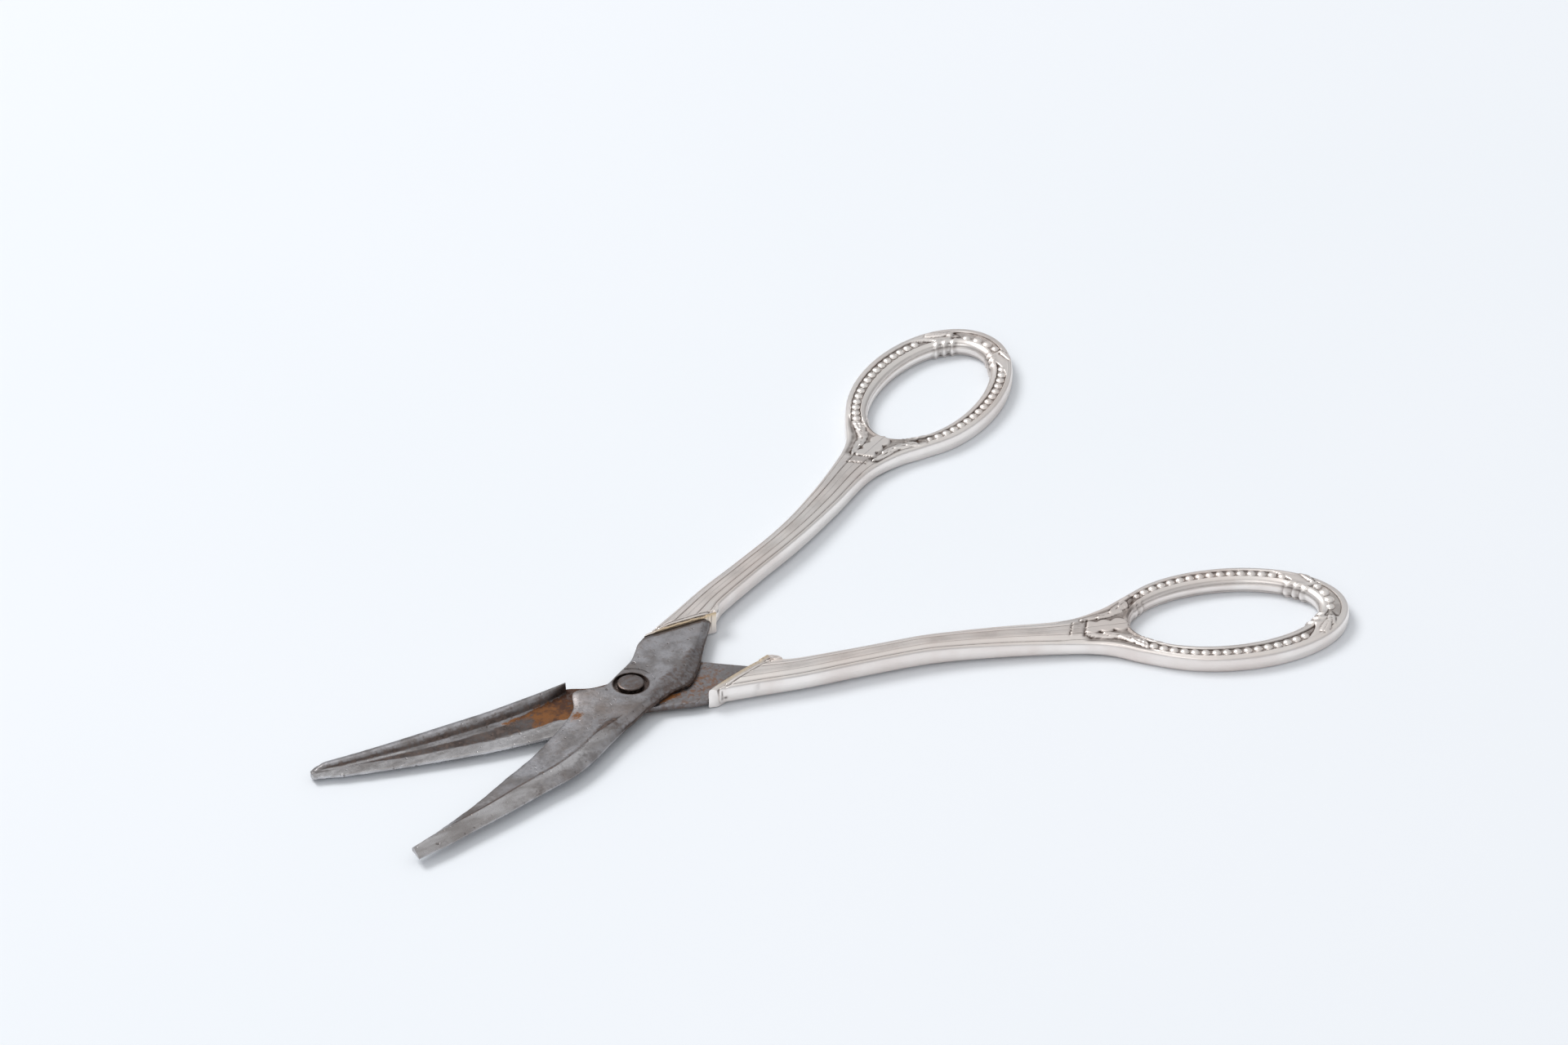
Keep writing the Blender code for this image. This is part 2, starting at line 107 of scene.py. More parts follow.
# Blades, from the tip to the pivot plate's slanted end.
# edge x, edge y, back x, back y, ridge's share of the way from edge to back, edge top z, ridge z
UPPER_STATIONS = [
    (-50.3, 7.6, -51.6, 5.5, 0.20, 2.10, 2.45),
    (-46.5, 6.7, -46.9, 3.6, 0.20, 2.15, 2.60),
    (-42.0, 5.9, -42.0, 2.0, 0.33, 2.20, 2.72),
    (-36.2, 5.0, -36.2, 0.0, 0.46, 2.30, 2.88),
    (-29.0, 4.4, -29.0, -2.2, 0.56, 2.42, 3.06),
    (-23.0, 3.75, -23.0, -4.1, 0.62, 2.60, 3.20),
    (-18.0, 3.75, -18.0, -4.7, 0.67, 2.70, 3.33),
    (-13.3, 3.95, -13.3, -4.7, 0.70, 2.85, 3.43),
    (-9.5, 4.6, -9.5, -4.75, 0.80, 3.00, 3.50),
    (-6.3, 6.6, -6.3, -5.0, 0.87, 3.30, 3.50),
    (-4.3, 4.8, -4.3, -5.0, 0.85, 3.50, 3.50),
    (-2.4, 3.2, -2.0, -5.3, 0.83, 3.50, 3.50),
    (1.5, 3.1, 2.4, -6.1, 0.81, 3.50, 3.50),
    (5.0, 3.15, 6.0, -7.3, 0.79, 3.50, 3.50),
    (7.6, 3.9, 10.5, -6.1, 0.80, 3.50, 3.50),
    (9.3, 4.5, 15.0, -4.15, 0.85, 3.50, 3.50),
]
# edge x, edge y, back x, back y, bottom z at the back
LOWER_STATIONS = [
    (-51.4, 10.3, -51.7, 8.7, 0.35),
    (-49.4, 10.4, -50.2, 7.5, 0.10),
    (-45.7, 10.7, -46.5, 6.75, 0.0),
    (-36.8, 10.6, -36.8, 4.6, 0.10),
    (-30.4, 10.35, -30.4, 3.0, 0.20),
    (-24.0, 10.0, -24.0, 1.45, 0.32),
    (-17.5, 9.2, -17.5, -0.5, 0.43),
    (-13.5, 8.6, -13.5, -1.75, 0.50),
    (-9.9, 8.0, -9.9, -2.75, 0.55),
    (-6.0, 6.9, -6.0, -2.2, 0.55),
    (-2.5, 5.5, -2.5, -2.9, 0.55),
    (1.0, 4.75, 2.4, -4.6, 0.55),
    (4.5, 4.75, 6.2, -6.5, 0.55),
    (7.5, 4.85, 10.5, -5.9, 0.55),
    (9.3, 4.9, 15.0, -4.1, 0.55),
]
LOWER_EDGE_THICKNESS = 0.45
# The gripping wall: x, outer y, inner y at its foot, rim z
WALL_STATIONS = [
    (-51.1, 8.55, 9.6, 1.60),
    (-49.5, 7.40, 9.2, 1.95),
    (-46.5, 6.77, 8.75, 2.10),
    (-42.5, 5.95, 8.1, 2.25),
    (-36.0, 4.42, 7.0, 2.50),
    (-29.5, 2.80, 5.55, 2.75),
    (-23.0, 1.22, 3.95, 3.00),
    (-17.5, -0.48, 2.2, 3.20),
    (-13.4, -1.76, 0.5, 3.35),
    (-9.9, -2.73, -1.75, 3.50),
]
# From its outer face over the rim to its foot: share of the width, share of the height.
WALL_PROFILE = [
    (0.0, 0.45), (0.04, 0.66), (0.11, 0.82), (0.2, 0.93), (0.31, 0.99), (0.42, 1.0), (0.52, 0.97),
    (0.60, 0.88), (0.68, 0.74), (0.75, 0.57), (0.82, 0.39), (0.89, 0.21), (0.95, 0.08),
]
WALL_ROOT = 0.4
# x, y, half width, bottom z, top z, slant
TANG_STATIONS = [
    (15.6, 1.7, 1.2, 2.25, 3.05, -1.55),
    (16.6, 1.65, 1.2, 2.25, 3.05, -1.55),
    (22.0, 1.55, 1.15, 1.95, 2.85, -0.6),
    (30.0, 1.15, 1.0, 1.40, 2.45, 0.0),
    (44.0, -0.15, 0.8, 1.30, 2.15, 0.0),
    (56.0, -0.25, 0.5, 1.35, 1.90, 0.0),
]
LOWER_TANG_ROOT = (0.95, 1.75)
LOWER_TANG_BEND = (1.25, 2.15)

# Lines on the lower blade's flat: the bright line at the wall's foot, and where the bare strip begins.
FOOT_LINE = np.array([
    (-51.6, 9.15), (-47.9, 8.8), (-42.7, 8.1), (-36.2, 7.1), (-29.7, 6.2), (-23.0, 4.55), (-17.6, 2.6),
    (-13.4, 0.6), (-9.7, -1.5),
])
STRIP_LINE = np.array([
    (-51.6, 9.4), (-42.8, 8.7), (-36.5, 8.8), (-30.0, 8.2), (-23.6, 7.65), (-16.9, 6.25), (-12.9, 5.1),
    (-9.9, 4.7),
])

# ---- curves


def smooth_rows(rows, steps):
    """Catmull-Rom curve through the rows, with this many steps from each row to the next."""
    rows = np.array(rows, float)
    padded = np.vstack([2 * rows[0] - rows[1], rows, 2 * rows[-1] - rows[-2]])
    found = []
    for i in range(len(rows) - 1):
        a, b, c, d = padded[i : i + 4]
        for t in np.arange(steps) / steps:
            found.append(
                b + 0.5 * t * (c - a + t * (2 * a - 5 * b + 4 * c - d + t * (3 * (b - c) + d - a)))
            )
    return np.vstack([found, rows[-1:]])


def lengths(curve):
    return np.concatenate([[0.0], np.cumsum(np.linalg.norm(np.diff(curve, axis=0), axis=1))])


def at_length(curve, wanted):
    total = lengths(curve)
    return np.stack([np.interp(wanted, total, curve[:, k]) for k in range(curve.shape[1])], -1)


def length_near(curve, point):
    return lengths(curve)[np.argmin(np.linalg.norm(curve - np.array(point), axis=1))]


def ellipse(shape, angles):
    centre, axes, tilt = shape
    u, v = axes[0] * np.cos(angles), axes[1] * np.sin(angles)
    c, s = math.cos(tilt), math.sin(tilt)
    return np.stack([centre[0] + u * c - v * s, centre[1] + u * s + v * c], -1)


def ease(value, low, high):
    """From 0 at low to 1 at high, with a smooth start and end."""
    share = np.clip((value - low) / (high - low), 0.0, 1.0)
    return share * share * (3 - 2 * share)


def bump(value, centre, width):
    return np.exp(-(((value - centre) / width) ** 2))


def ramp(x, start, end, low, high):
    return low + np.clip((x - start) / (end - start), 0.0, 1.0) * (high - low)


def droop(x):
    return ramp(x, DROOP_START, DROOP_END, 0.0, TIP_DROOP)


def middle_plane(x):
    return ramp(x, TAPER_START, TAPER_END, MOUTH_MIDDLE, LOOP_MIDDLE)


def half_thickness(x):
    return ramp(x, TAPER_START, TAPER_END, MOUTH_HALF, LOOP_HALF)


def mouth_point(along, into):
    return MOUTH_OUTER + along * MOUTH_ALONG + into * MOUTH_NORMAL


def behind_mouth(x, y):
    """Distance from the mouth's slanted front towards the handle's loop."""
    return (x - MOUTH_OUTER[0]) * MOUTH_NORMAL[0] + (y - MOUTH_OUTER[1]) * MOUTH_NORMAL[1]


# ---- meshes


def to_row(points, side):
    """Lever frame in millimetres to the row's frame in metres."""
    points = np.asarray(points, float)
    c, s = math.cos(REST_HALF_ANGLE), math.sin(REST_HALF_ANGLE)
    x, y, z = points[..., 0], points[..., 1], points[..., 2]
    return np.stack([x * c - y * s + PIVOT_X, side * (x * s + y * c), z], -1) * MM


def to_lever(points, side):
    """The row's frame in metres back to the lever frame in millimetres."""
    x, y, z = points[:, 0] / MM - PIVOT_X, side * points[:, 1] / MM, points[:, 2] / MM
    c, s = math.cos(REST_HALF_ANGLE), math.sin(REST_HALF_ANGLE)
    return np.stack([x * c + y * s, -x * s + y * c, z], -1)


class Surface:
    """Collects grids of points into one mesh, with three painted amounts at each point."""

    def __init__(self):
        self.points, self.paint, self.faces, self.count = [], [], [], 0

    def grid(self, points, paint=None, wrap=False, outward=None):
        """Adds a grid of faces that look outward: one direction, or one for each point."""
        rows, columns = points.shape[:2]
        turn = False
        if outward is not None:
            along, across = np.gradient(points, axis=0), np.gradient(points, axis=1)
            turn = np.sum(np.cross(along, across) * outward) < 0
        index = np.arange(rows * columns).reshape(rows, columns) + self.count
        if wrap:
            index = np.hstack([index, index[:, :1]])
        quads = np.stack([index[:-1, :-1], index[1:, :-1], index[1:, 1:], index[:-1, 1:]], -1)
        quads = quads.reshape(-1, 4)
        self.faces.extend((quads[:, ::-1] if turn else quads).tolist())
        self.points.append(points.reshape(-1, 3))
        paint = np.zeros((rows, columns, 3)) if paint is None else paint
        self.paint.append(paint.reshape(-1, 3))
        self.count += rows * columns

    def close(self, rows, columns):
        """Closes the last grid's first and last rows with one face each."""
        first, last = self.count - rows * columns, self.count - columns
        self.faces.append(list(range(first, first + columns))[::-1])
        self.faces.append(list(range(last, last + columns)))

    def mesh(self, name, side):
        data = bpy.data.meshes.new(name)
        places = to_row(np.vstack(self.points), side)
        faces = [face[::-1] for face in self.faces] if side == LOWER else self.faces
        data.from_pydata(places.tolist(), [], faces)
        return set_paint(data, np.vstack(self.paint))


def set_paint(data, amounts):
    layer = data.attributes.get("paint") or data.attributes.new("paint", "FLOAT_COLOR", "POINT")
    colours = np.ones((len(data.vertices), 4), np.float32)
    colours[:, :3] = np.clip(amounts, 0, 1)
    layer.data.foreach_set("color", colours.reshape(-1))
    return data


def weld(data, distance=2e-6, recalc=False):
    bm = bmesh.new()
    bm.from_mesh(data)
    bmesh.ops.remove_doubles(bm, verts=bm.verts, dist=distance)
    if recalc:
        bmesh.ops.recalc_face_normals(bm, faces=bm.faces)
    bm.to_mesh(data)
    bm.free()
    return data


def linked(name, data):
    made = bpy.data.objects.new(name, data)
    bpy.context.scene.collection.objects.link(made)
    return made


def place(name, data, body, node, material, sharp=40):
    """Makes the finished piece that stands for a CAD node."""
    piece = linked(name, data)
    data.materials.clear()
    data.materials.append(material)
    data.shade_smooth()
    data.set_sharp_from_angle(angle=math.radians(sharp))
    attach(piece, body)
    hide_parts(node)
    return piece


def ring_loft(name, sections, side):
    """A closed body through rings of lever-frame points."""
    surface = Surface()
    rings = np.array(sections, float)
    surface.grid(rings, wrap=True)
    surface.close(*rings.shape[:2])
    return weld(surface.mesh(name, side), recalc=True)


def apply_boolean(data, other, operation):
    """The mesh of data combined with other's."""
    target, tool = linked("target", data), linked("tool", other)
    modifier = target.modifiers.new("cut", "BOOLEAN")
    modifier.object = tool
    modifier.operation = operation
    modifier.solver = "EXACT"
    graph = bpy.context.evaluated_depsgraph_get()
    graph.update()
    found = bpy.data.meshes.new_from_object(target.evaluated_get(graph))
    for thing in (target, tool):
        bpy.data.objects.remove(thing, do_unlink=True)
    return found


def turned(profile, segments):
    """Rings of points round the pivot, one for each radius and height."""
    turn = np.linspace(0, 2 * math.pi, segments, endpoint=False)
    return np.array([[(r * math.cos(a), r * math.sin(a), z) for a in turn] for r, z in profile])


def cylinder(radius, low, high, side):
    return ring_loft("cylinder", turned([(radius, low), (radius, high)], 96), side)


def hashed(values):
    """Repeatable scatter between -1 and 1 for whole numbers."""
    return 2 * np.modf(np.abs(np.sin(values * 12.9898) * 43758.5453))[0] - 1


# ---- materials

SILVER_PALE, SILVER_WARM = (0.95, 0.905, 0.87), (0.89, 0.825, 0.785)
SILVER_SMEAR, GILDING, TARNISH = (0.76, 0.665, 0.62), (0.74, 0.58, 0.38), (0.075, 0.050, 0.040)
STEEL_DARK, STEEL_PALE = (0.26, 0.245, 0.245), (0.43, 0.425, 0.445)
STEEL_SPECK, STEEL_STAIN = (0.17, 0.145, 0.135), (0.25, 0.195, 0.165)
PATINA_AND_SHADE_DARK, PATINA_AND_SHADE_PALE = (0.075, 0.058, 0.052), (0.16, 0.125, 0.112)
GROUND_BRIGHT, GROUND_DULL = (0.56, 0.55, 0.56), (0.33, 0.31, 0.305)
RUST_DARK, RUST_ORANGE = (0.060, 0.020, 0.008), (0.205, 0.078, 0.018)
PIT = (0.08, 0.055, 0.045)
PITCH_DARK, PITCH_PALE = (0.05, 0.03, 0.02), (0.10, 0.065, 0.045)
PAPER_COOL, PAPER_PALE = (0.86, 0.895, 0.935), (0.875, 0.905, 0.945)


class Shader:
    """Short names for the nodes that a material is made of."""

    def __init__(self, name):
        self.material = bpy.data.materials.new(name)
        self.material.use_nodes = True
        self.tree = self.material.node_tree
        self.shader = self.tree.nodes["Principled BSDF"]
        self.place = self.tree.nodes.new("ShaderNodeTexCoord").outputs["Object"]

    def node(self, kind, **values):
        made = self.tree.nodes.new(kind)
        for key, value in values.items():
            setattr(made, key, value)
        return made

    def feed(self, socket, value):
        if hasattr(value, "is_linked"):
            self.tree.links.new(value, socket)
        elif isinstance(value, tuple) and len(value) == 3 and socket.type == "RGBA":
            socket.default_value = (*value, 1.0)
        else:
            socket.default_value = value

    def fill(self, node, **values):
        for key, value in values.items():
            self.feed(node.inputs[key.replace("_", " ")], value)

    def stretch(self, scale):
        made = self.node("ShaderNodeMapping")
        self.fill(made, Vector=self.place, Scale=scale)
        return made.outputs["Vector"]

    def noise(self, scale, detail=3.0, rough=0.55, vector=None):
        made = self.node("ShaderNodeTexNoise")
        self.fill(made, Vector=vector or self.place, Scale=scale, Detail=detail, Roughness=rough)
        return made.outputs["Fac"]

    def spread(self, value, low, high, to_low=0.0, to_high=1.0):
        made = self.node("ShaderNodeMapRange", interpolation_type="SMOOTHSTEP")
        self.fill(made, Value=value, From_Min=low, From_Max=high, To_Min=to_low, To_Max=to_high)
        return made.outputs["Result"]

    def math(self, operation, first, second):
        made = self.node("ShaderNodeMath", operation=operation, use_clamp=False)
        self.feed(made.inputs[0], first)
        self.feed(made.inputs[1], second)
        return made.outputs[0]

    def times(self, first, second):
        return self.math("MULTIPLY", first, second)

    def plus(self, first, second):
        return self.math("ADD", first, second)

    def mix(self, factor, first, second):
        made = self.node("ShaderNodeMix", data_type="RGBA")
        self.feed(made.inputs[0], factor)
        self.feed(made.inputs[6], first)
        self.feed(made.inputs[7], second)
        return made.outputs[2]

    def parts(self, vector):
        made = self.node("ShaderNodeSeparateXYZ")
        self.feed(made.inputs[0], vector)
        return made.outputs[0], made.outputs[1], made.outputs[2]

    def painted(self):
        made = self.node("ShaderNodeAttribute", attribute_name="paint")
        parts = self.node("ShaderNodeSeparateColor")
        self.feed(parts.inputs[0], made.outputs["Color"])
        return parts.outputs[0], parts.outputs[1], parts.outputs[2]

    def relief(self, height, strength, distance, under=None):
        made = self.node("ShaderNodeBump")
        self.fill(made, Strength=strength, Distance=distance, Height=height)
        if under:
            self.fill(made, Normal=under)
        return made.outputs["Normal"]

    def set(self, **values):
        self.fill(self.shader, **values)
        return self.material


def silver_material():
    """Polished silver, warm with tarnish that gathers in the stamped hollows."""
    s = Shader("tarnished_silver")
    hollow, gilt, _ = s.painted()
    blotch = s.noise(130, 4)
    small = s.noise(900, 3)
    smear = s.spread(s.noise(60, 3), 0.42, 0.66)
    dirt = s.times(hollow, s.spread(small, 0.25, 0.6, 0.65, 1.0))
    clean = s.mix(s.spread(blotch, 0.38, 0.68), SILVER_PALE, SILVER_WARM)
    clean = s.mix(s.times(smear, 0.35), clean, SILVER_SMEAR)
    golden = s.mix(gilt, clean, GILDING)
    colour = s.mix(dirt, golden, TARNISH)
    rough = s.plus(s.spread(blotch, 0.3, 0.7, 0.30, 0.42), s.times(dirt, 0.3))
    scratch = s.noise(2600, 2, vector=s.stretch((1.0, 0.22, 1.0)))
    normal = s.relief(scratch, 0.12, 0.00003)
    normal = s.relief(s.noise(420, 2), 0.18, 0.00008, normal)
    return s.set(Base_Color=colour, Metallic=1.0, Roughness=rough, Normal=normal)


def steel_material():
    """Old forged steel: grey and mottled, with brown patina, brown painted shade, rust and bare ground
    strips.
    """
    s = Shader("worn_steel")
    rust, patina_and_shade, bare = s.painted()
    cloud = s.noise(260, 6, 0.62)
    grain = s.noise(1500, 4, 0.6)
    broad = s.noise(75, 3)
    grey = s.mix(s.spread(cloud, 0.36, 0.64), STEEL_DARK, STEEL_PALE)
    grey = s.mix(s.spread(grain, 0.52, 0.72, 0.0, 0.55), grey, STEEL_SPECK)
    grey = s.mix(s.spread(broad, 0.52, 0.7, 0.0, 0.5), grey, STEEL_STAIN)
    # brown for the patina and for the painted shade
    brown = s.mix(s.spread(grain, 0.35, 0.65), PATINA_AND_SHADE_DARK, PATINA_AND_SHADE_PALE)
    streak = s.noise(420, 4, vector=s.stretch((0.3, 1.0, 1.0)))
    strip = s.mix(s.spread(streak, 0.35, 0.68), GROUND_BRIGHT, GROUND_DULL)
    flakes = s.times(cloud, s.plus(grain, 0.5))
    orange = s.mix(s.spread(flakes, 0.36, 0.64), RUST_DARK, RUST_ORANGE)
    # breaks up the painted edges
    edge = s.spread(cloud, 0.3, 0.7, -0.14, 0.14)
    edge = s.plus(edge, s.spread(grain, 0.35, 0.65, -0.12, 0.12))
    # painted shade: the dark ring of shade in the gap round the screw's head
    east, north, _ = s.parts(s.place)
    off_pivot = s.math("SUBTRACT", east, PIVOT_X * MM)
    squares = s.plus(s.math("POWER", off_pivot, 2.0), s.math("POWER", north, 2.0))
    radius = s.math("SQRT", squares, 0.0)
    ring = s.spread(radius, (COUNTERBORE_R + 0.02) * MM, (COUNTERBORE_R + 0.3) * MM, 1.0, 0.0)
    ring = s.times(ring, s.spread(radius, (HEAD_R - 0.2) * MM, (HEAD_R - 0.05) * MM))
    patina_and_shade_mask = s.spread(s.plus(patina_and_shade, edge), 0.2, 0.85)
    # the ring's painted shade is laid on in the patina's brown
    patina_and_shade_mask = s.math("MAXIMUM", patina_and_shade_mask, s.times(ring, 0.95))
    rusty = s.spread(s.plus(rust, edge), 0.3, 0.8)
    ground = s.spread(s.plus(bare, edge), 0.3, 0.75)
    colour = s.mix(ground, grey, strip)
    colour = s.mix(patina_and_shade_mask, colour, brown)
    colour = s.mix(rusty, colour, orange)
    pits = s.spread(s.noise(1250, 2), 0.655, 0.73)
    colour = s.mix(s.times(pits, 0.5), colour, PIT)
    rough = s.plus(s.spread(grain, 0.3, 0.7, 0.31, 0.47), s.times(rusty, 0.35))
    rough = s.math("SUBTRACT", rough, s.times(ground, 0.10))
    metal = s.math("SUBTRACT", 1.0, s.times(rusty, 0.85))
    normal = s.relief(pits, 0.5, -0.00006)
    normal = s.relief(grain, 0.30, 0.00007, normal)
    lines = s.noise(1900, 2, vector=s.stretch((0.25, 1.0, 1.0)))
    normal = s.relief(lines, 0.12, 0.00005, normal)
    return s.set(Base_Color=colour, Metallic=metal, Roughness=rough, Normal=normal)


def pitch_material():
    s = Shader("set_pitch")
    grain = s.noise(700, 4)
    colour = s.mix(s.spread(grain, 0.35, 0.65), PITCH_DARK, PITCH_PALE)
    return s.set(Base_Color=colour, Roughness=0.75, Normal=s.relief(grain, 0.4, 0.0001))


def floor_material():
    s = Shader("paper_sweep")
    cloud = s.noise(6, 2)
    colour = s.mix(s.spread(cloud, 0.3, 0.7), PAPER_COOL, PAPER_PALE)
    return s.set(Base_Color=colour, Roughness=0.75, Normal=s.relief(s.noise(3000, 2), 0.05, 0.00002))


# ---- silver handles

GROOVE_EDGE, GROOVE_PANEL, FINE_RIDGE = 0.22, 0.64, 0.55
CHANNEL_OUT, CHANNEL_IN = 0.25, 0.72
CROWN = 0.42
SHOULDER_R = 0.35
HOLE_ROUNDING = 0.42
ROW_BEADS = 16
ROW_START, ROW_END = 139.5, 51.5  # degrees round the band's middle line, from the far end
BEAD_R = 0.78
BEAD_SEGMENTS = 16
RIB_ANGLES = (39.0, 31.5, 24.0)
CROTCH_RIBS = (149.0, 142.0)
GROOVE_COLUMNS = [
    0.02, 0.06, 0.19, 0.205, 0.22, 0.235, 0.27, 0.52, 0.55, 0.61, 0.625, 0.64, 0.655, 0.69, 0.735, 0.77,
]
BAND_COLUMNS = np.unique(np.concatenate([np.linspace(0, 1, 25), GROOVE_COLUMNS]))
REED_MARKS = (27.0, 36.5, 47.5, 58.5, 68.0)
# Angles round the finger hole and round the loop that face each other, from the crotch to the far end.
FACING_ANGLES = [(2.44, LOOP_FROM), (1.8, 1.76), (1.57, 1.57), (1.05, 1.05), (0.52, 0.52), (0, 0)]
CROTCH_OUTER, CROTCH_INNER = (77.0, 6.2), (77.2, -4.8)
PANEL_END = 72.75
TABLET_LENGTH = 2.35
HUSK_GROUND, HUSK_RISE = 0.26, 0.42
SCALLOP_START, SCALLOP_LENGTH = 72.4, 2.3
CHANNEL_DEPTH = 0.30
TAIL_DEPTH = 0.22
# Husk leaves at the crotch: tip x, tip distance from the middle, length, width, angle in degrees
HUSKS = [
    (72.2, 1.9, 4.6, 1.5, 14),
    (74.9, 2.0, 4.8, 2.0, 22),
    (77.2, 3.0, 4.4, 2.2, 33),
    (79.0, 4.2, 3.6, 2.0, 44),
]
END_BEADS = [(111.3, -2.6, 0.74), (111.9, -0.8, 0.95), (112.1, 1.2, 0.94), (111.75, 3.1, 0.80)]
END_LEAVES = [(111.6, 4.3, 3.6, 1.7, 104), (110.9, 6.3, 3.8, 2.0, 122), (110.9, -3.6, 3.6, 1.5, -108)]


def edge_curve(sign):
    """The silver's edge in plan from the mouth to the loop's far end, on the outer or the inner side."""
    start = OUTER_EDGE if sign > 0 else INNER_EDGE
    corners = ellipse(LOOP, sign * np.array([LOOP_FROM, LOOP_NEXT]))
    first = smooth_rows([*start, *corners], 10)[:-11]
    arc = ellipse(LOOP, sign * np.linspace(LOOP_FROM, 0, 120))
    return np.vstack([first, arc])


def hole_angle(points):
    """Degrees round the finger hole from its far end, as seen from the hole's centre."""
    centre, axes, _ = HOLE
    u = (points[..., 0] - centre[0]) / axes[0]
    v = (points[..., 1] - centre[1]) / axes[1]
    return np.degrees(np.abs(np.arctan2(v, u)))


def ribs_at(angle):
    total = sum(bump(angle, centre, 2.0) for centre in RIB_ANGLES)
    return total + 0.6 * sum(bump(angle, centre, 2.0) for centre in CROTCH_RIBS)


def inner_curve(sign):
    """From the mouth along the middle of the shaft, then round the finger hole to its far end."""
    crotch = ellipse(HOLE, math.pi)
    first = smooth_rows([*MIDDLE_LINE, crotch], 10)[:-1]
    arc = ellipse(HOLE, sign * np.linspace(math.pi, 0, 200))
    return np.vstack([first, arc])


def band(sign, step):
    """Matching points on the edge and on the inner line of one side, and which are at the hole."""
    edge, inner = edge_curve(sign), inner_curve(sign)
    marks = [(0.0, 0.0)]
    beginning = OUTER_EDGE if sign > 0 else INNER_EDGE[2:]
    for x in REED_MARKS:
        there = min(beginning, key=lambda point: abs(point[0] - x))
        here = (there[0], np.interp(there[0], *np.array(MIDDLE_LINE).T))
        marks.append((length_near(edge, there), length_near(inner, here)))
    crotch = length_near(inner, ellipse(HOLE, math.pi))
    marks.append((length_near(edge, CROTCH_OUTER if sign > 0 else CROTCH_INNER), crotch))
    for hole_at, edge_at in FACING_ANGLES:
        there = ellipse(LOOP, sign * edge_at)
        here = ellipse(HOLE, sign * hole_at)
        marks.append((length_near(edge, there), length_near(inner, here)))
    marks = np.array(marks)
    total = lengths(edge)[-1]
    detail_from = length_near(edge, OUTER_EDGE[6] if sign > 0 else INNER_EDGE[6])
    shaft = np.concatenate([np.arange(0, 3.2, 0.6 * step), np.arange(3.2, detail_from, 2.2 * step)])
    loop = np.linspace(detail_from, total, int((total - detail_from) / step))
    along = np.concatenate([shaft, loop])
    match = np.interp(along, marks[:, 0], marks[:, 1])
    for _ in range(12):
        match[1:-1] = 0.5 * match[1:-1] + 0.25 * (match[:-2] + match[2:])
    return at_length(edge, along), at_length(inner, match), match > crotch - 1e-6


def leaf(x, y, tip, angle, length, width):
    """Height from 0 to 1 of a pointed leaf that lies from its tip in the angle's direction."""
    c, s = math.cos(math.radians(angle)), math.sin(math.radians(angle))
    along = ((x - tip[0]) * c + (y - tip[1]) * s) / length
    across = -(x - tip[0]) * s + (y - tip[1]) * c
    inside = (along > 0) & (along < 1)
    half = 0.5 * width * np.sqrt(np.clip(along, 0, 1)) * np.clip(1.25 - along, 0, 1) ** 0.4 * 1.15
    share = np.clip(1 - (across / np.maximum(half, 1e-6)) ** 2, 0, 1)
    vein = 1 - 0.35 * bump(across, 0, 0.12) * ease(along, 0.05, 0.3)
    return np.where(inside, share**0.5 * vein * ease(along, 0.0, 0.06) * (1 - 0.6 * along), 0)


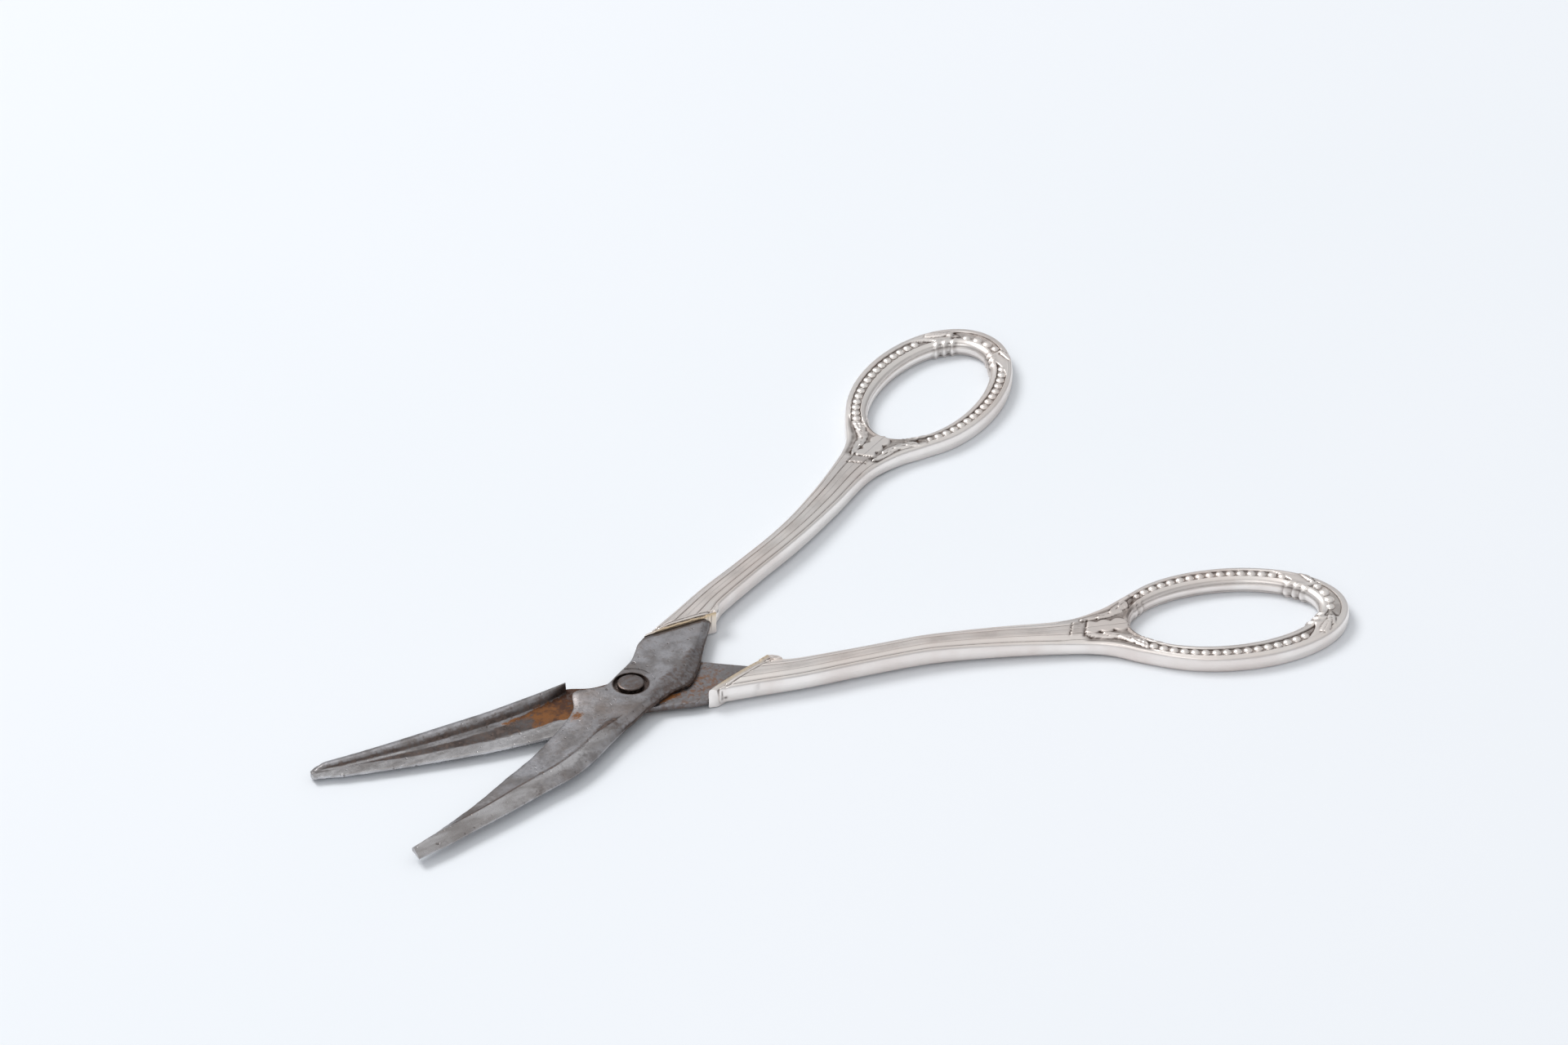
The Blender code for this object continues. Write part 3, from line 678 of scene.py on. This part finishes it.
def relief(x, y, v, width, on_hole):
    """Height of the stamped pattern over the handle's plain top, and the dirt that lies in it."""
    middle = np.interp(x, *np.array([*MIDDLE_LINE, (80.0, 0.4), (115.0, 1.6)]).T)
    from_middle = np.abs(y - middle)
    loopness = ease(x, 70.0, 80.0)
    # the plain top: a rounded shoulder at the edge, crowned on the shaft and rimmed on the loop
    inside = np.clip(SHOULDER_R - v * width, 0, None)
    drop = SHOULDER_R - np.sqrt(np.clip(SHOULDER_R**2 - inside**2, 0, None))
    crown = CROWN * np.clip(1 - v / 0.64, 0, 1) ** 1.5
    rim = 0.14 * np.clip(1 - v / 0.25, 0, 1) ** 1.5
    height = -drop - (1 - loopness) * crown - loopness * rim
    # reeds along the shaft
    reeds = 0.17 * bump(v, GROOVE_PANEL, 0.035) - 0.05 * bump(v, FINE_RIDGE, 0.045)
    behind = behind_mouth(x, y) - SHELL_FRONT
    shaft = (1 - ease(x, 71.8, 72.8)) * ease(behind, BAND_END, BAND_END + 0.35)
    height -= reeds * shaft
    height -= 0.09 * bump(behind, BAND_END, 0.11)
    height -= 0.16 * bump(v, GROOVE_EDGE, 0.04) * (1 - ease(x, 67.5, 70.0))
    # the panel's end: a small raised tablet, then a cross cut
    slant = x - PANEL_END + 0.36 * (y - 0.2)
    in_panel = ease(from_middle, 1.9, 1.5)
    near_panel = ease(from_middle, 2.3, 1.9)
    tablet = ease(slant, -TABLET_LENGTH, 0.2 - TABLET_LENGTH) * ease(slant, -0.1, -0.35)
    height -= 0.24 * bump(slant, 0, 0.16) * near_panel
    height -= 0.12 * bump(slant, -TABLET_LENGTH, 0.13) * in_panel
    height += 0.07 * tablet * in_panel
    # husk leaves on a sunk ground with a scalloped border
    husks = np.zeros_like(x)
    for tip_x, out, length, size, angle in HUSKS:
        for sign in (1, -1):
            tip = (tip_x, 0.35 + sign * out)
            husks = np.maximum(husks, leaf(x, y, tip, sign * angle, length, size))
    for tip_x, tip_y, length, size, angle in END_LEAVES:
        husks = np.maximum(husks, 0.8 * leaf(x, y, (tip_x, tip_y), angle, length, size))
    scallop = 0.9 + 0.55 * np.abs(np.sin((x - SCALLOP_START) * math.pi / SCALLOP_LENGTH))
    field = ease(x, 71.5, 73.0) * ease(x, 82.5, 80.5) * ease(from_middle - scallop, 0.0, 0.45)
    height -= HUSK_GROUND * field * ease(v, 0.10, 0.22) * (1 - ease(v, 0.72, 0.86))
    height += HUSK_RISE * husks
    # channel of the bead rows
    around = np.degrees(np.abs(np.arctan2((y - 1.05) / 10.35, (x - 95.45) / 17.25)))
    share = np.clip((v - CHANNEL_OUT) / (CHANNEL_IN - CHANNEL_OUT), 0, 1)
    start = 143.0 + 9.0 * share**1.5
    end = 57.0 - 19.0 * share
    row = ease(around, start + 0.9, start) * ease(around, end, end + 0.9)
    across = ease(v, CHANNEL_OUT - 0.012, CHANNEL_OUT + 0.018)
    across = across * ease(v, CHANNEL_IN + 0.018, CHANNEL_IN - 0.012)
    on_loop = ease(x, 79.5, 81.0)
    height -= CHANNEL_DEPTH * row * across * on_loop
    lines = bump(v, CHANNEL_OUT - 0.045, 0.025) + bump(v, CHANNEL_IN + 0.045, 0.025)
    height += 0.05 * lines * ease(around, 152, 146) * ease(around, 40, 46) * on_loop
    # wrapped bands across the start of the rows and beside the end beads
    bands = bump(around, 146.5 + 8 * share, 1.0) + bump(around, 150.0 + 8 * share, 1.0)
    height += 0.10 * bands * on_loop * ease(v, 0.12, 0.25)
    tail = ease(around, 27.0, 24.0) * across
    height -= TAIL_DEPTH * tail
    caps = ease(around, 24.0, 27.0) * ease(around, end, end - 1.2)
    height += 0.06 * caps * ease(v, 0.15, 0.4)
    ribs = ribs_at(hole_angle(np.stack([x, y], -1)))
    height += 0.16 * ribs * ease(v, 0.55, 0.8) * on_loop
    rounding = HOLE_ROUNDING * np.clip((v - 0.80) / 0.20, 0, 1) ** 2
    dirt = 0.7 * row * across * on_loop + 0.55 * tail + 0.7 * field * (husks < 0.12)
    dirt += 0.9 * near_panel * bump(slant, 0, 0.2)
    dirt += 0.7 * in_panel * bump(slant, -TABLET_LENGTH, 0.16)
    dirt += 0.35 * in_panel * ease(slant, -2.2, -2.0) * ease(slant, -0.2, -0.4)
    return height - rounding * on_hole, dirt * ease(v, 0.1, 0.2)


def blurred(field, times):
    """The field with each value averaged with its four neighbours, this many times over."""
    out = field.copy()
    for _ in range(times):
        padded = np.pad(out, 1, mode="edge")
        out = (padded[:-2, 1:-1] + padded[2:, 1:-1] + padded[1:-1, :-2] + padded[1:-1, 2:]) / 4
    return out


def dome(surface, x, y, floor, radius, height, flip):
    """One bead: a dome whose foot sinks into the channel."""
    turn = np.linspace(0, 2 * math.pi, BEAD_SEGMENTS, endpoint=False)
    rings, dirt = [], []
    for angle in np.radians([-12, 8, 25, 42, 60, 78]):
        r, z = radius * math.cos(angle), height * math.sin(angle)
        level = np.full(BEAD_SEGMENTS, floor + flip * z)
        rings.append(np.stack([x + r * np.cos(turn), y + r * np.sin(turn), level], -1))
        dirt.append(max(0.0, 0.9 - 1.9 * math.sin(max(angle, 0))))
    rings = np.array(rings)
    paint = np.zeros(rings.shape)
    paint[..., 0] = np.array(dirt)[:, None]
    surface.grid(rings, paint, wrap=True, outward=rings - np.array([x, y, floor]))
    crest = list(range(surface.count - BEAD_SEGMENTS, surface.count))
    surface.faces.append(crest if flip > 0 else crest[::-1])


def stamped_top(surface, edge, inner, on_hole, top):
    """The patterned face of one side of the handle; gives the heights of its rows of points."""
    flip = 1 if top else -1
    v = BAND_COLUMNS[None, :]
    plan = edge[:, None, :] + v[..., None] * (inner - edge)[:, None, :]
    width = np.linalg.norm(inner - edge, axis=1)[:, None] * np.ones_like(v)
    x, y = plan[..., 0], plan[..., 1]
    height, dirt = relief(x, y, v * np.ones_like(x), width, on_hole[:, None])
    if not top:
        height = np.minimum(height, 0.0)
    z = middle_plane(x) + flip * (half_thickness(x) + height)
    behind = behind_mouth(x, y) - SHELL_FRONT
    reeded = ease(x, 72.5, 71.5) * ease(behind, BAND_END, BAND_END + 0.3)
    hollow = np.maximum.reduce([
        np.clip((blurred(height, 6) - height - 0.006) / 0.05, 0, 1),
        np.clip((blurred(height, 24) - height) / 0.28, 0, 0.8),
        dirt,
        0.9 * bump(behind, BAND_END, 0.12),
        reeded * (bump(v, GROOVE_PANEL, 0.02) + 0.8 * bump(v, GROOVE_EDGE, 0.018)),
        0.30 * ease(v, 0.66, 0.74) * reeded * (0.6 + 0.4 * np.sin(x * 0.8)),
    ])
    paint = np.zeros((*x.shape, 3))
    paint[..., 0] = hollow * ((v > 0.1) & (v < 0.97))
    surface.grid(np.stack([x, y, z], -1), paint, outward=(0, 0, flip))
    return z


def seam_wall(surface, line, high, facing, bulge, flip, dirt):
    """A wall from the line at the top down to the seam, where its lip turns in."""
    levels = np.linspace(0, 1, bulge.shape[1])[None, :]
    bottom = middle_plane(line[:, 0]) + flip * SEAM_GAP / 2
    plan = line[:, None, :] + facing[:, None, :] * bulge[..., None]
    plan = np.concatenate([plan, plan[:, -1:] - SEAM_LIP * facing[:, None, :]], 1)
    z = high[:, None] + levels * (bottom - high)[:, None]
    z = np.concatenate([z, z[:, -1:]], 1)
    paint = np.zeros((*z.shape, 3))
    paint[..., 0] = dirt
    outward = np.pad(facing, ((0, 0), (0, 1)))[:, None, :]
    surface.grid(np.concatenate([plan, z[..., None]], -1), paint, outward=outward)


def side_wall(surface, edge, high, sign, top):
    """The slightly full side, with a few dark marks near the mouth."""
    tangent = np.gradient(edge, axis=0)
    outward = np.stack([tangent[:, 1], -tangent[:, 0]], -1) * (-1 if sign > 0 else 1)
    outward /= np.linalg.norm(outward, axis=1)[:, None]
    levels = np.linspace(0, 1, 6)[None, :]
    dirt = 0.0
    if sign > 0:
        front = lengths(edge)[:, None]
        down = np.append(levels, [[1.0]], 1)
        dirt = 0.8 * bump(front, 0.45, 0.12) * ease(down, 0.0, 0.3)
        dirt = dirt + 0.3 * bump(front, 6.1, 0.25)
        if not top:
            dirt = dirt + 0.9 * bump(front, 1.0, 0.3) * bump(down, 0.55, 0.25)
    full = 0.07 * np.sin(levels * math.pi / 2)
    seam_wall(surface, edge, high, outward, full, 1 if top else -1, dirt)


def hole_wall(surface, ring, high, rib, inward, flip):
    """The rounded wall of the finger hole, with a fine step and the ribs' lower ends."""
    levels = np.linspace(0, 1, 8)[None, :]
    curve = np.sin(levels * math.pi / 2)
    full = 0.30 * curve**0.8 + 0.10 * rib[:, None] * curve
    step_line = 0.06 * bump(levels, 0.30, 0.10) * (1 - rib[:, None])
    beside_ribs = blurred(np.tile(rib[:, None], (1, 9)), 8) * 1.6 - rib[:, None]
    dirt = np.clip(beside_ribs, 0, 1) * 0.9 + 0.45 * bump(np.append(levels, [[1.0]], 1), 0.30, 0.12)
    seam_wall(surface, ring, high, inward, full - step_line, flip, dirt)


def shell_surface(top):
    """Half of a handle's stamped skin: its relief, its side walls, the hole's wall and its beads."""
    surface = Surface()
    flip = 1 if top else -1
    walls = []
    for sign in (1, -1):
        edge, inner, on_hole = band(sign, 0.2 if top else 0.3)
        inward = np.array(HOLE[0]) - inner
        inward /= np.linalg.norm(inward, axis=1)[:, None]
        rib = ribs_at(hole_angle(inner)) * on_hole
        inner = inner + inward * (0.26 * rib)[:, None]
        z = stamped_top(surface, edge, inner, on_hole, top)
        side_wall(surface, edge, z[:, 0], sign, top)
        walls.append((inner[on_hole], z[on_hole, -1], rib[on_hole], inward[on_hole]))
    for ring, high, rib, inward in walls:
        hole_wall(surface, ring, high, rib, inward, flip)
    add_beads(surface, flip)
    return surface


def add_beads(surface, flip):
    """The two rows of beads and the larger beads at the far end."""
    angles = np.radians(np.linspace(ROW_START, ROW_END, 200))
    for sign in (1, -1):
        outer = ellipse(LOOP, sign * angles)
        inner = ellipse(HOLE, sign * angles)
        middle = outer + 0.5 * (CHANNEL_OUT + CHANNEL_IN) * (inner - outer)
        places = at_length(middle, np.linspace(0, lengths(middle)[-1], ROW_BEADS))
        for k, (x, y) in enumerate(places):
            radius = BEAD_R * (0.72 if k == 0 and sign < 0 else 1.0)
            floor = middle_plane(x) + flip * (half_thickness(x) - 0.36)
            dome(surface, x, y, floor, radius, 0.52 if flip > 0 else 0.35, flip)
    for x, y, radius in END_BEADS:
        floor = middle_plane(x) + flip * (half_thickness(x) - 0.32)
        dome(surface, x, y, floor, radius, 0.60 if flip > 0 else 0.31, flip)


def silver_shell(side, lever, top, material):
    half = "top" if top else "bottom"
    name = f"{lever}_silver_{half}"
    data = weld(shell_surface(top).mesh(name, side))
    node = f"{lever}_handle_{half}_shell"
    piece = place(name, data, f"{lever}_lever", node, material, 50)
    thick = piece.modifiers.new("silver_wall", "SOLIDIFY")
    thick.thickness = SILVER_WALL * MM
    thick.offset = -1
    return piece


# The mouth strip's section: depth behind the mouth, share of its height, gilding.
STRIP_PROFILE = [
    (0.0, 0.0, 0.0), (0.0, 0.84, 0.5), (0.05, 0.97, 0.9), (0.22, 1.0, 0.9), (0.45, 0.985, 0.6),
    (0.66, 0.93, 0.2), (0.79, 0.90, 0.0), (0.79, 0.5, 0.0), (0.79, 0.0, 0.0), (0.4, 0.0, 0.0),
    (0.0, 0.0, 0.0),
]
WING_PLAN = [
    (22.0, -2.15), (22.7, -2.15), (23.4, -1.95), (24.0, -1.5), (24.3, -1.0), (23.4, -0.95), (22.5, -1.3),
]
WING_LEVELS = [(2.6, 0.12), (2.7, 0.0), (3.55, 0.0), (3.80, 0.06), (3.92, 0.22)]  # height, inset


def strip_grid(surface):
    """The raised lip round the slanted mouth, with its front edge rolled."""
    low = MOUTH_MIDDLE - MOUTH_HALF - 0.10
    high = MOUTH_MIDDLE + MOUTH_HALF + 0.12
    along = np.linspace(0.5, MOUTH_LENGTH, 90)
    share = along / MOUTH_LENGTH
    wobble = 0.02 * np.sin(along * 2.3) + 0.015 * np.sin(along * 5.1 + 1)
    crown = high - CROWN * (np.abs(2 * share - 1) ** 3.0) - 0.06
    crown = np.where(share > 0.86, np.maximum(crown, high - 0.05), crown)
    rings = []
    for a, top, w in zip(along, crown, wobble):
        spread = 1.55 - 1.2 * a / MOUTH_LENGTH
        ring = []
        for depth, up, _ in STRIP_PROFILE:
            x, y = mouth_point(a + depth * spread, depth + (w if 0 < depth < 0.7 else 0))
            ring.append((x, y, low + up * (top + w - low)))
        rings.append(ring)
    rings = np.array(rings)
    rows, columns = rings.shape[:2]
    paint = np.zeros(rings.shape)
    paint[..., 1] = np.array(STRIP_PROFILE)[None, :, 2] * ease(share, 0.02, 0.3)[:, None]
    pits = np.clip(hashed(np.arange(rows * columns)).reshape(rows, columns) - 0.72, 0, 1) * 4
    paint[..., 0] = pits * ease(share, 0.45, 0.95)[:, None]
    paint[:, 6, 0] = 0.8
    surface.grid(rings, paint, wrap=True)
    surface.close(rows, columns)


def wing_grid(surface):
    """The wing that stands out beyond the shaft at the mouth's inner end."""
    plan = np.array(WING_PLAN)
    inward = np.mean(plan, axis=0) - plan
    inward /= np.linalg.norm(inward, axis=1)[:, None]
    rings = np.array([np.insert(plan + inset * inward, 2, z, axis=1) for z, inset in WING_LEVELS])
    rows, columns = rings.shape[:2]
    paint = np.zeros(rings.shape)
    paint[3:, :, 0] = np.clip(hashed(np.arange(2 * columns)).reshape(2, columns), 0, 1)
    surface.grid(rings, paint, wrap=True)
    surface.close(rows, columns)


def collar_piece(side, lever, material):
    surface = Surface()
    strip_grid(surface)
    wing_grid(surface)
    name = f"{lever}_mouth_strip"
    data = weld(surface.mesh(name, side), recalc=True)
    return place(name, data, f"{lever}_lever", f"{lever}_handle_collar", material)


# ---- steel


def refined(corners, counts):
    """The section's corners with straight runs between them cut into this many steps."""
    out = []
    for i, count in enumerate(counts):
        a, b = np.array(corners[i]), np.array(corners[(i + 1) % len(corners)])
        out.extend(a + (b - a) * t for t in np.arange(count) / count)
    return np.array(out)


def nick(x, depth):
    """Small chips and waves along a cutting edge."""
    waves = 0.4 * np.sin(x * 1.7) + 0.35 * np.sin(x * 4.3 + 1.2) + 0.25 * np.sin(x * 9.7 + 0.4)
    return depth * (0.5 * waves - 1.6 * np.clip(hashed(np.round(x * 2.6)) - 0.72, 0, 1))


def end_row():
    return (*mouth_point(0.25, -STEEL_GAP), *mouth_point(MOUTH_LENGTH - 1.0, -STEEL_GAP))


def section(edge, back, places):
    """Points at these shares of the way from edge to back, and at these heights."""
    return [(*(edge + share * (back - edge)), z) for share, z in places]


def upper_ring(row):
    edge, back, share, edge_z, ridge_z = row[0:2].copy(), row[2:4], row[4], row[5], row[6]
    if edge[0] < -11:
        edge[1] += nick(edge[0], 0.10)
    bottom = UPPER_PLATE_BOTTOM - droop((edge[0] + back[0]) / 2)
    height = ridge_z - bottom
    rest = 1 - share
    corners = section(edge, back, [
        (0, bottom), (0, edge_z - 0.12), (0.03, edge_z + 0.02), (share - 0.03, ridge_z - 0.005),
        (share, ridge_z), (share + 0.25 * rest, ridge_z - 0.06 * height),
        (share + 0.45 * rest, ridge_z - 0.26 * height), (share + 0.8 * rest, ridge_z - 0.5 * height),
        (1, bottom + 0.25 * height), (1, bottom),
    ])
    return refined(corners, [1, 1, 9, 1, 3, 3, 3, 3, 1, 6])


def lower_ring(row):
    edge, back, bottom = row[0:2].copy(), row[2:4], row[4]
    if edge[0] < -12:
        edge[1] += nick(edge[0] + 7.3, 0.13)
    top = LOWER_PLATE_TOP - droop((edge[0] + back[0]) / 2)
    thickness = LOWER_EDGE_THICKNESS + ramp(edge[0], -12, 0, 0, 0.5)
    corners = section(edge, back, [
        (0, top - 0.05), (0.02, top), (1, top), (1, bottom + 0.35), (0.94, bottom), (0.45, bottom),
        (0, max(top - thickness, bottom)),
    ])
    return refined(corners, [1, 26, 2, 1, 5, 5, 1])


def wall_ring(row):
    x, outer, inner, rim = row
    top = LOWER_PLATE_TOP - droop(x)
    width, height = inner - outer, rim - top
    rough = 0.05 * math.sin(x * 2.9) + 0.04 * math.sin(x * 7.7 + 1.0)
    ring = [(x, outer + a * width, top + b * (height + 0.2 * rough)) for a, b in WALL_PROFILE]
    return [(x, outer, top - WALL_ROOT), *ring, (x, inner, top), (x, inner, top - WALL_ROOT)]


def tang_mesh(side):
    rows = np.array(TANG_STATIONS)
    if side == LOWER:
        rows[0:2, 3:5] = LOWER_TANG_ROOT
        rows[2, 3:5] = LOWER_TANG_BEND
    sections = []
    for x, y, half, low, high, slant in rows:
        corners = [(-half, low), (half, low), (half, high), (-half, high)]
        sections.append([(x + slant * v, y + v, z) for v, z in corners])
    return ring_loft("tang", sections, side)


def at_vertices(data, what):
    """The vertices' places (co) or normals (normal)."""
    found = np.zeros(len(data.vertices) * 3, np.float32)
    data.vertices.foreach_get(what, found)
    return found.reshape(-1, 3).astype(float)


def paint_upper(data):
    """Rust, patina, painted shade and bare metal on the upper blade."""
    x, y, z = to_lever(at_vertices(data, "co"), UPPER).T
    table = smooth_rows(UPPER_STATIONS, 4)
    table = table[np.argsort(table[:, 0])]
    edge, back, share = (np.interp(x, table[:, 0], table[:, k]) for k in (1, 3, 4))
    off_ridge = ((edge - y) / np.maximum(edge - back, 0.1) - share) * (edge - back)
    on_blade = ease(x, -6, -12)
    line = bump(off_ridge, -0.10, 0.20) * ease(x, -47, -40) * ease(x, -6, -10)
    bare = 0.42 + 0.3 * ease(off_ridge, 1.8, 0.8)
    bare *= ease(off_ridge, 0.05, 0.3) * on_blade
    bare += 0.35 * ease(x, -26, -34)
    patina_and_shade = 0.80 * line
    patina_and_shade += 0.55 * ease(y, -2.2, -4.2) * ease(x, -6, 0)
    patina_and_shade += 0.45 * bump(x, -10.5, 2.6) * ease(y, 3.0, -2.0)
    # darker towards the bottom of the blade's sides, from the pivot back
    patina_and_shade += 0.9 * ease(z, 2.75, 2.45) * ease(x, -12, -6)
    # painted shade on the steel just in front of the silver mouth
    patina_and_shade += 0.7 * ease(behind_mouth(x, y), -1.1, -0.3)
    rust = 0.30 * line + 0.72 * bump(x, -10.8, 1.8) * bump(y, 3.2, 1.2)
    rust += 0.5 * ease(z, 2.5, 2.2) * ease(x, 2, 6)
    set_paint(data, np.stack([rust, patina_and_shade, bare], -1))


def paint_lower(data):
    """Rust, patina, painted shade and bare metal on the lower blade."""
    x, y, z = to_lever(at_vertices(data, "co"), LOWER).T
    normal = at_vertices(data, "normal")
    c, s = math.cos(REST_HALF_ANGLE), math.sin(REST_HALF_ANGLE)
    facing = -s * normal[:, 0] - c * normal[:, 1]
    off_foot = y - np.interp(x, *FOOT_LINE.T)
    off_strip = y - np.interp(x, *STRIP_LINE.T)
    plate = LOWER_PLATE_TOP - droop(x)
    wall_x, _, _, rim = np.array(WALL_STATIONS).T
    climb = (z - plate) / (np.interp(x, wall_x, rim) - plate)
    flat = ease(z - plate, 0.12, 0.02)
    # faces that look towards the cutting edge above the flat: these get painted shade
    shaded_inner_face = ease(facing, 0.15, 0.6) * ease(z - plate, 0.05, 0.25)
    on_blade = ease(x, -9.0, -11.0)
    channel = ease(off_foot, 0.1, 0.4) * ease(off_strip, 0.15, -0.25) * flat * on_blade
    seam = y - (4.1 - 0.34 * (x - 2.1))  # where the upper plate's edge lies over this one
    foot_line = 0.9 * bump(off_foot, 0.0, 0.20) * ease(x, -20, -26)
    bare = on_blade * np.maximum(ease(off_strip, -0.15, 0.25), foot_line)
    # patina in the channel, and painted shade on the gripping wall's inner face, darker low down on it
    patina_and_shade = np.maximum.reduce([
        0.75 * channel,
        shaded_inner_face * on_blade * (0.42 + 0.42 * ease(climb, 0.75, 0.45)),
        0.8 * ease(x, -18, -10) * shaded_inner_face,
    ])
    patina_and_shade += (0.25 + 0.22 * flat) * ease(x, -9, -4)
    # darker towards the bottom of the plate's sides near the pivot
    patina_and_shade += 0.5 * ease(z, 1.2, 0.8) * ease(x, -10, -2)
    rust = np.maximum.reduce([
        channel * ease(x, -20, -13),
        bump(off_foot, 0.1, 0.55) * ease(x, -24, -18) * on_blade,
        0.9 * flat * ease(x, -14, -10) * ease(y, 4.6, 3.8) * ease(x, 6, 2),
        0.36 * ease(x, 3.0, 7.5) * flat,
        0.95 * flat * bump(seam, 0.0, 0.7) * ease(x, 0.0, 1.5) * ease(x, 9.5, 6.5),
    ])
    set_paint(data, np.stack([rust, patina_and_shade, bare], -1))


def upper_blade(side):
    rows = smooth_rows([*UPPER_STATIONS, (*end_row(), 0.9, UPPER_PLATE_TOP, UPPER_PLATE_TOP)], 11)
    data = ring_loft("blade", [upper_ring(row) for row in rows], side)
    data = apply_boolean(data, tang_mesh(side), "UNION")
    cuts = ((HOLE_R, 0), (COUNTERBORE_R, COUNTERBORE_FLOOR), (SPOT_FACE_R, SPOT_FACE_FLOOR))
    for radius, floor in cuts:
        data = apply_boolean(data, cylinder(radius, floor, 5, side), "DIFFERENCE")
    return data


def lower_blade(side):
    rows = smooth_rows([*LOWER_STATIONS, (*end_row(), LOWER_PLATE_BOTTOM)], 11)
    data = ring_loft("blade", [lower_ring(row) for row in rows], side)
    wall = ring_loft("wall", [wall_ring(row) for row in smooth_rows(WALL_STATIONS, 11)], side)
    for other in (wall, tang_mesh(side)):
        data = apply_boolean(data, other, "UNION")
    return apply_boolean(data, cylinder(HOLE_R, -1, 5, side), "DIFFERENCE")


def blade_piece(side, lever, material):
    data = upper_blade(side) if side == UPPER else lower_blade(side)
    data.name = f"{lever}_steel"
    weld(data, 1e-6)
    (paint_upper if side == UPPER else paint_lower)(data)
    piece = place(data.name, data, f"{lever}_lever", f"{lever}_blade", material, 35)
    soft = piece.modifiers.new("worn_edges", "BEVEL")
    soft.width = WORN_EDGE * MM
    soft.segments = 2
    soft.limit_method = "ANGLE"
    soft.angle_limit = math.radians(38)
    soft.use_clamp_overlap = True
    return piece


# The screw's outline from the head's middle to the shank's end: radius, height, and patina with painted
# shade, darkest on the head's side.
SCREW_FOOT = LOWER_PLATE_BOTTOM - 0.05
SCREW_PROFILE = [
    (0.0, HEAD_TOP, 0.62), (0.5, HEAD_TOP, 0.58), (1.1, HEAD_TOP - 0.008, 0.58),
    (HEAD_R - 0.30, HEAD_TOP - 0.03, 0.6), (HEAD_R - 0.12, HEAD_TOP - 0.07, 0.78),
    (HEAD_R - 0.03, HEAD_TOP - 0.15, 1.2), (HEAD_R, HEAD_TOP - 0.27, 1.4),
    (HEAD_R, HEAD_BOTTOM + 0.2, 1.4), (HEAD_R, HEAD_BOTTOM, 1.4), (SHANK_R, HEAD_BOTTOM, 1.0),
    (SHANK_R, 1.6, 1.0), (SHANK_R, LOWER_PLATE_BOTTOM + 0.02, 0.7), (SHANK_R - 0.12, SCREW_FOOT, 0.6),
    (0.0, SCREW_FOOT, 0.6),
]


def screw_piece(material):
    """The screw: a flat head with a rounded rim, darker round its side with patina and painted shade."""
    rings = turned([(radius, z) for radius, z, _ in SCREW_PROFILE], 72)
    paint = np.zeros(rings.shape)
    paint[..., 1] = np.array(SCREW_PROFILE)[:, 2, None]
    surface = Surface()
    surface.grid(rings, paint, wrap=True)
    name = "pivot_screw_turned"
    data = weld(surface.mesh(name, LOWER), recalc=True)
    return place(name, data, "lower_lever", "pivot_screw", material, 30)


# ---- stage

WORLD_STRENGTH = 0.70
WORLD_SHADES = [(0.0, (0.50, 0.51, 0.53, 1)), (0.40, (0.70, 0.71, 0.73, 1)), (1.0, (1.0, 1.0, 1.0, 1))]
FLOOR_DROP = 0.02
LIGHTS = [
    ("key", (-0.5, 1.5, 2.1), 1.4, 34.5),
    ("fill", (-1.8, -1.4, 1.8), 1.8, 10.0),
]
CAMERA_TURN = (-0.61460, 0.61112, -0.011781)  # azimuth, elevation and roll
CAMERA_DISTANCE = 1056.32
CAMERA_TARGET = (47.372 + PIVOT_X, 25.331, 0.0)


def studio():
    bpy.ops.mesh.primitive_plane_add(size=6.0, location=(0, 0, -FLOOR_DROP * MM))
    floor = bpy.context.object
    floor.name = "paper_sweep"
    floor.data.materials.append(floor_material())
    world = bpy.data.worlds.new("studio")
    bpy.context.scene.world = world
    bpy.context.scene.view_settings.view_transform = "Standard"
    world.use_nodes = True
    nodes, links = world.node_tree.nodes, world.node_tree.links
    coords = nodes.new("ShaderNodeTexCoord")
    parts = nodes.new("ShaderNodeSeparateXYZ")
    shades = nodes.new("ShaderNodeValToRGB")
    links.new(coords.outputs["Generated"], parts.inputs[0])
    links.new(parts.outputs["Z"], shades.inputs[0])
    ramp_stops = shades.color_ramp.elements
    ramp_stops.new(0.5)
    for stop, (position, colour) in zip(ramp_stops, WORLD_SHADES):
        stop.position = position
        stop.color = colour
    links.new(shades.outputs[0], nodes["Background"].inputs[0])
    nodes["Background"].inputs[1].default_value = WORLD_STRENGTH
    for name, place_at, size, power in LIGHTS:
        lamp = bpy.data.lights.new(name, "AREA")
        lamp.shape = "DISK"
        lamp.size = size
        lamp.energy = power
        thing = linked(name, lamp)
        thing.location = place_at
        thing.rotation_euler = (-Vector(place_at)).to_track_quat("-Z", "Y").to_euler()


def camera():
    az, el, roll = CAMERA_TURN
    back = Vector((math.sin(az) * math.cos(el), -math.cos(az) * math.cos(el), math.sin(el)))
    right = Vector((0, 0, 1)).cross(back).normalized()
    up = back.cross(right)
    across = math.cos(roll) * right + math.sin(roll) * up
    upward = -math.sin(roll) * right + math.cos(roll) * up
    eye = (Vector(CAMERA_TARGET) + back * CAMERA_DISTANCE) * MM
    view = bpy.data.cameras.new("view")
    view.lens = 150.0
    view.sensor_width = 36.0
    view.clip_end = 20.0
    thing = linked("view", view)
    turn = Matrix((across, upward, back)).transposed().to_4x4()
    thing.matrix_world = Matrix.Translation(eye) @ turn
    bpy.context.scene.camera = thing


# ---- build

silver = silver_material()
steel = steel_material()
pitch = pitch_material()
for side, lever in ((UPPER, "upper"), (LOWER, "lower")):
    blade_piece(side, lever, steel)
    silver_shell(side, lever, True, silver)
    silver_shell(side, lever, False, silver)
    collar_piece(side, lever, silver)
    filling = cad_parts[f"{lever}_handle_filling"]
    filling.data.materials.clear()
    filling.data.materials.append(pitch)
screw_piece(steel)
studio()
camera()
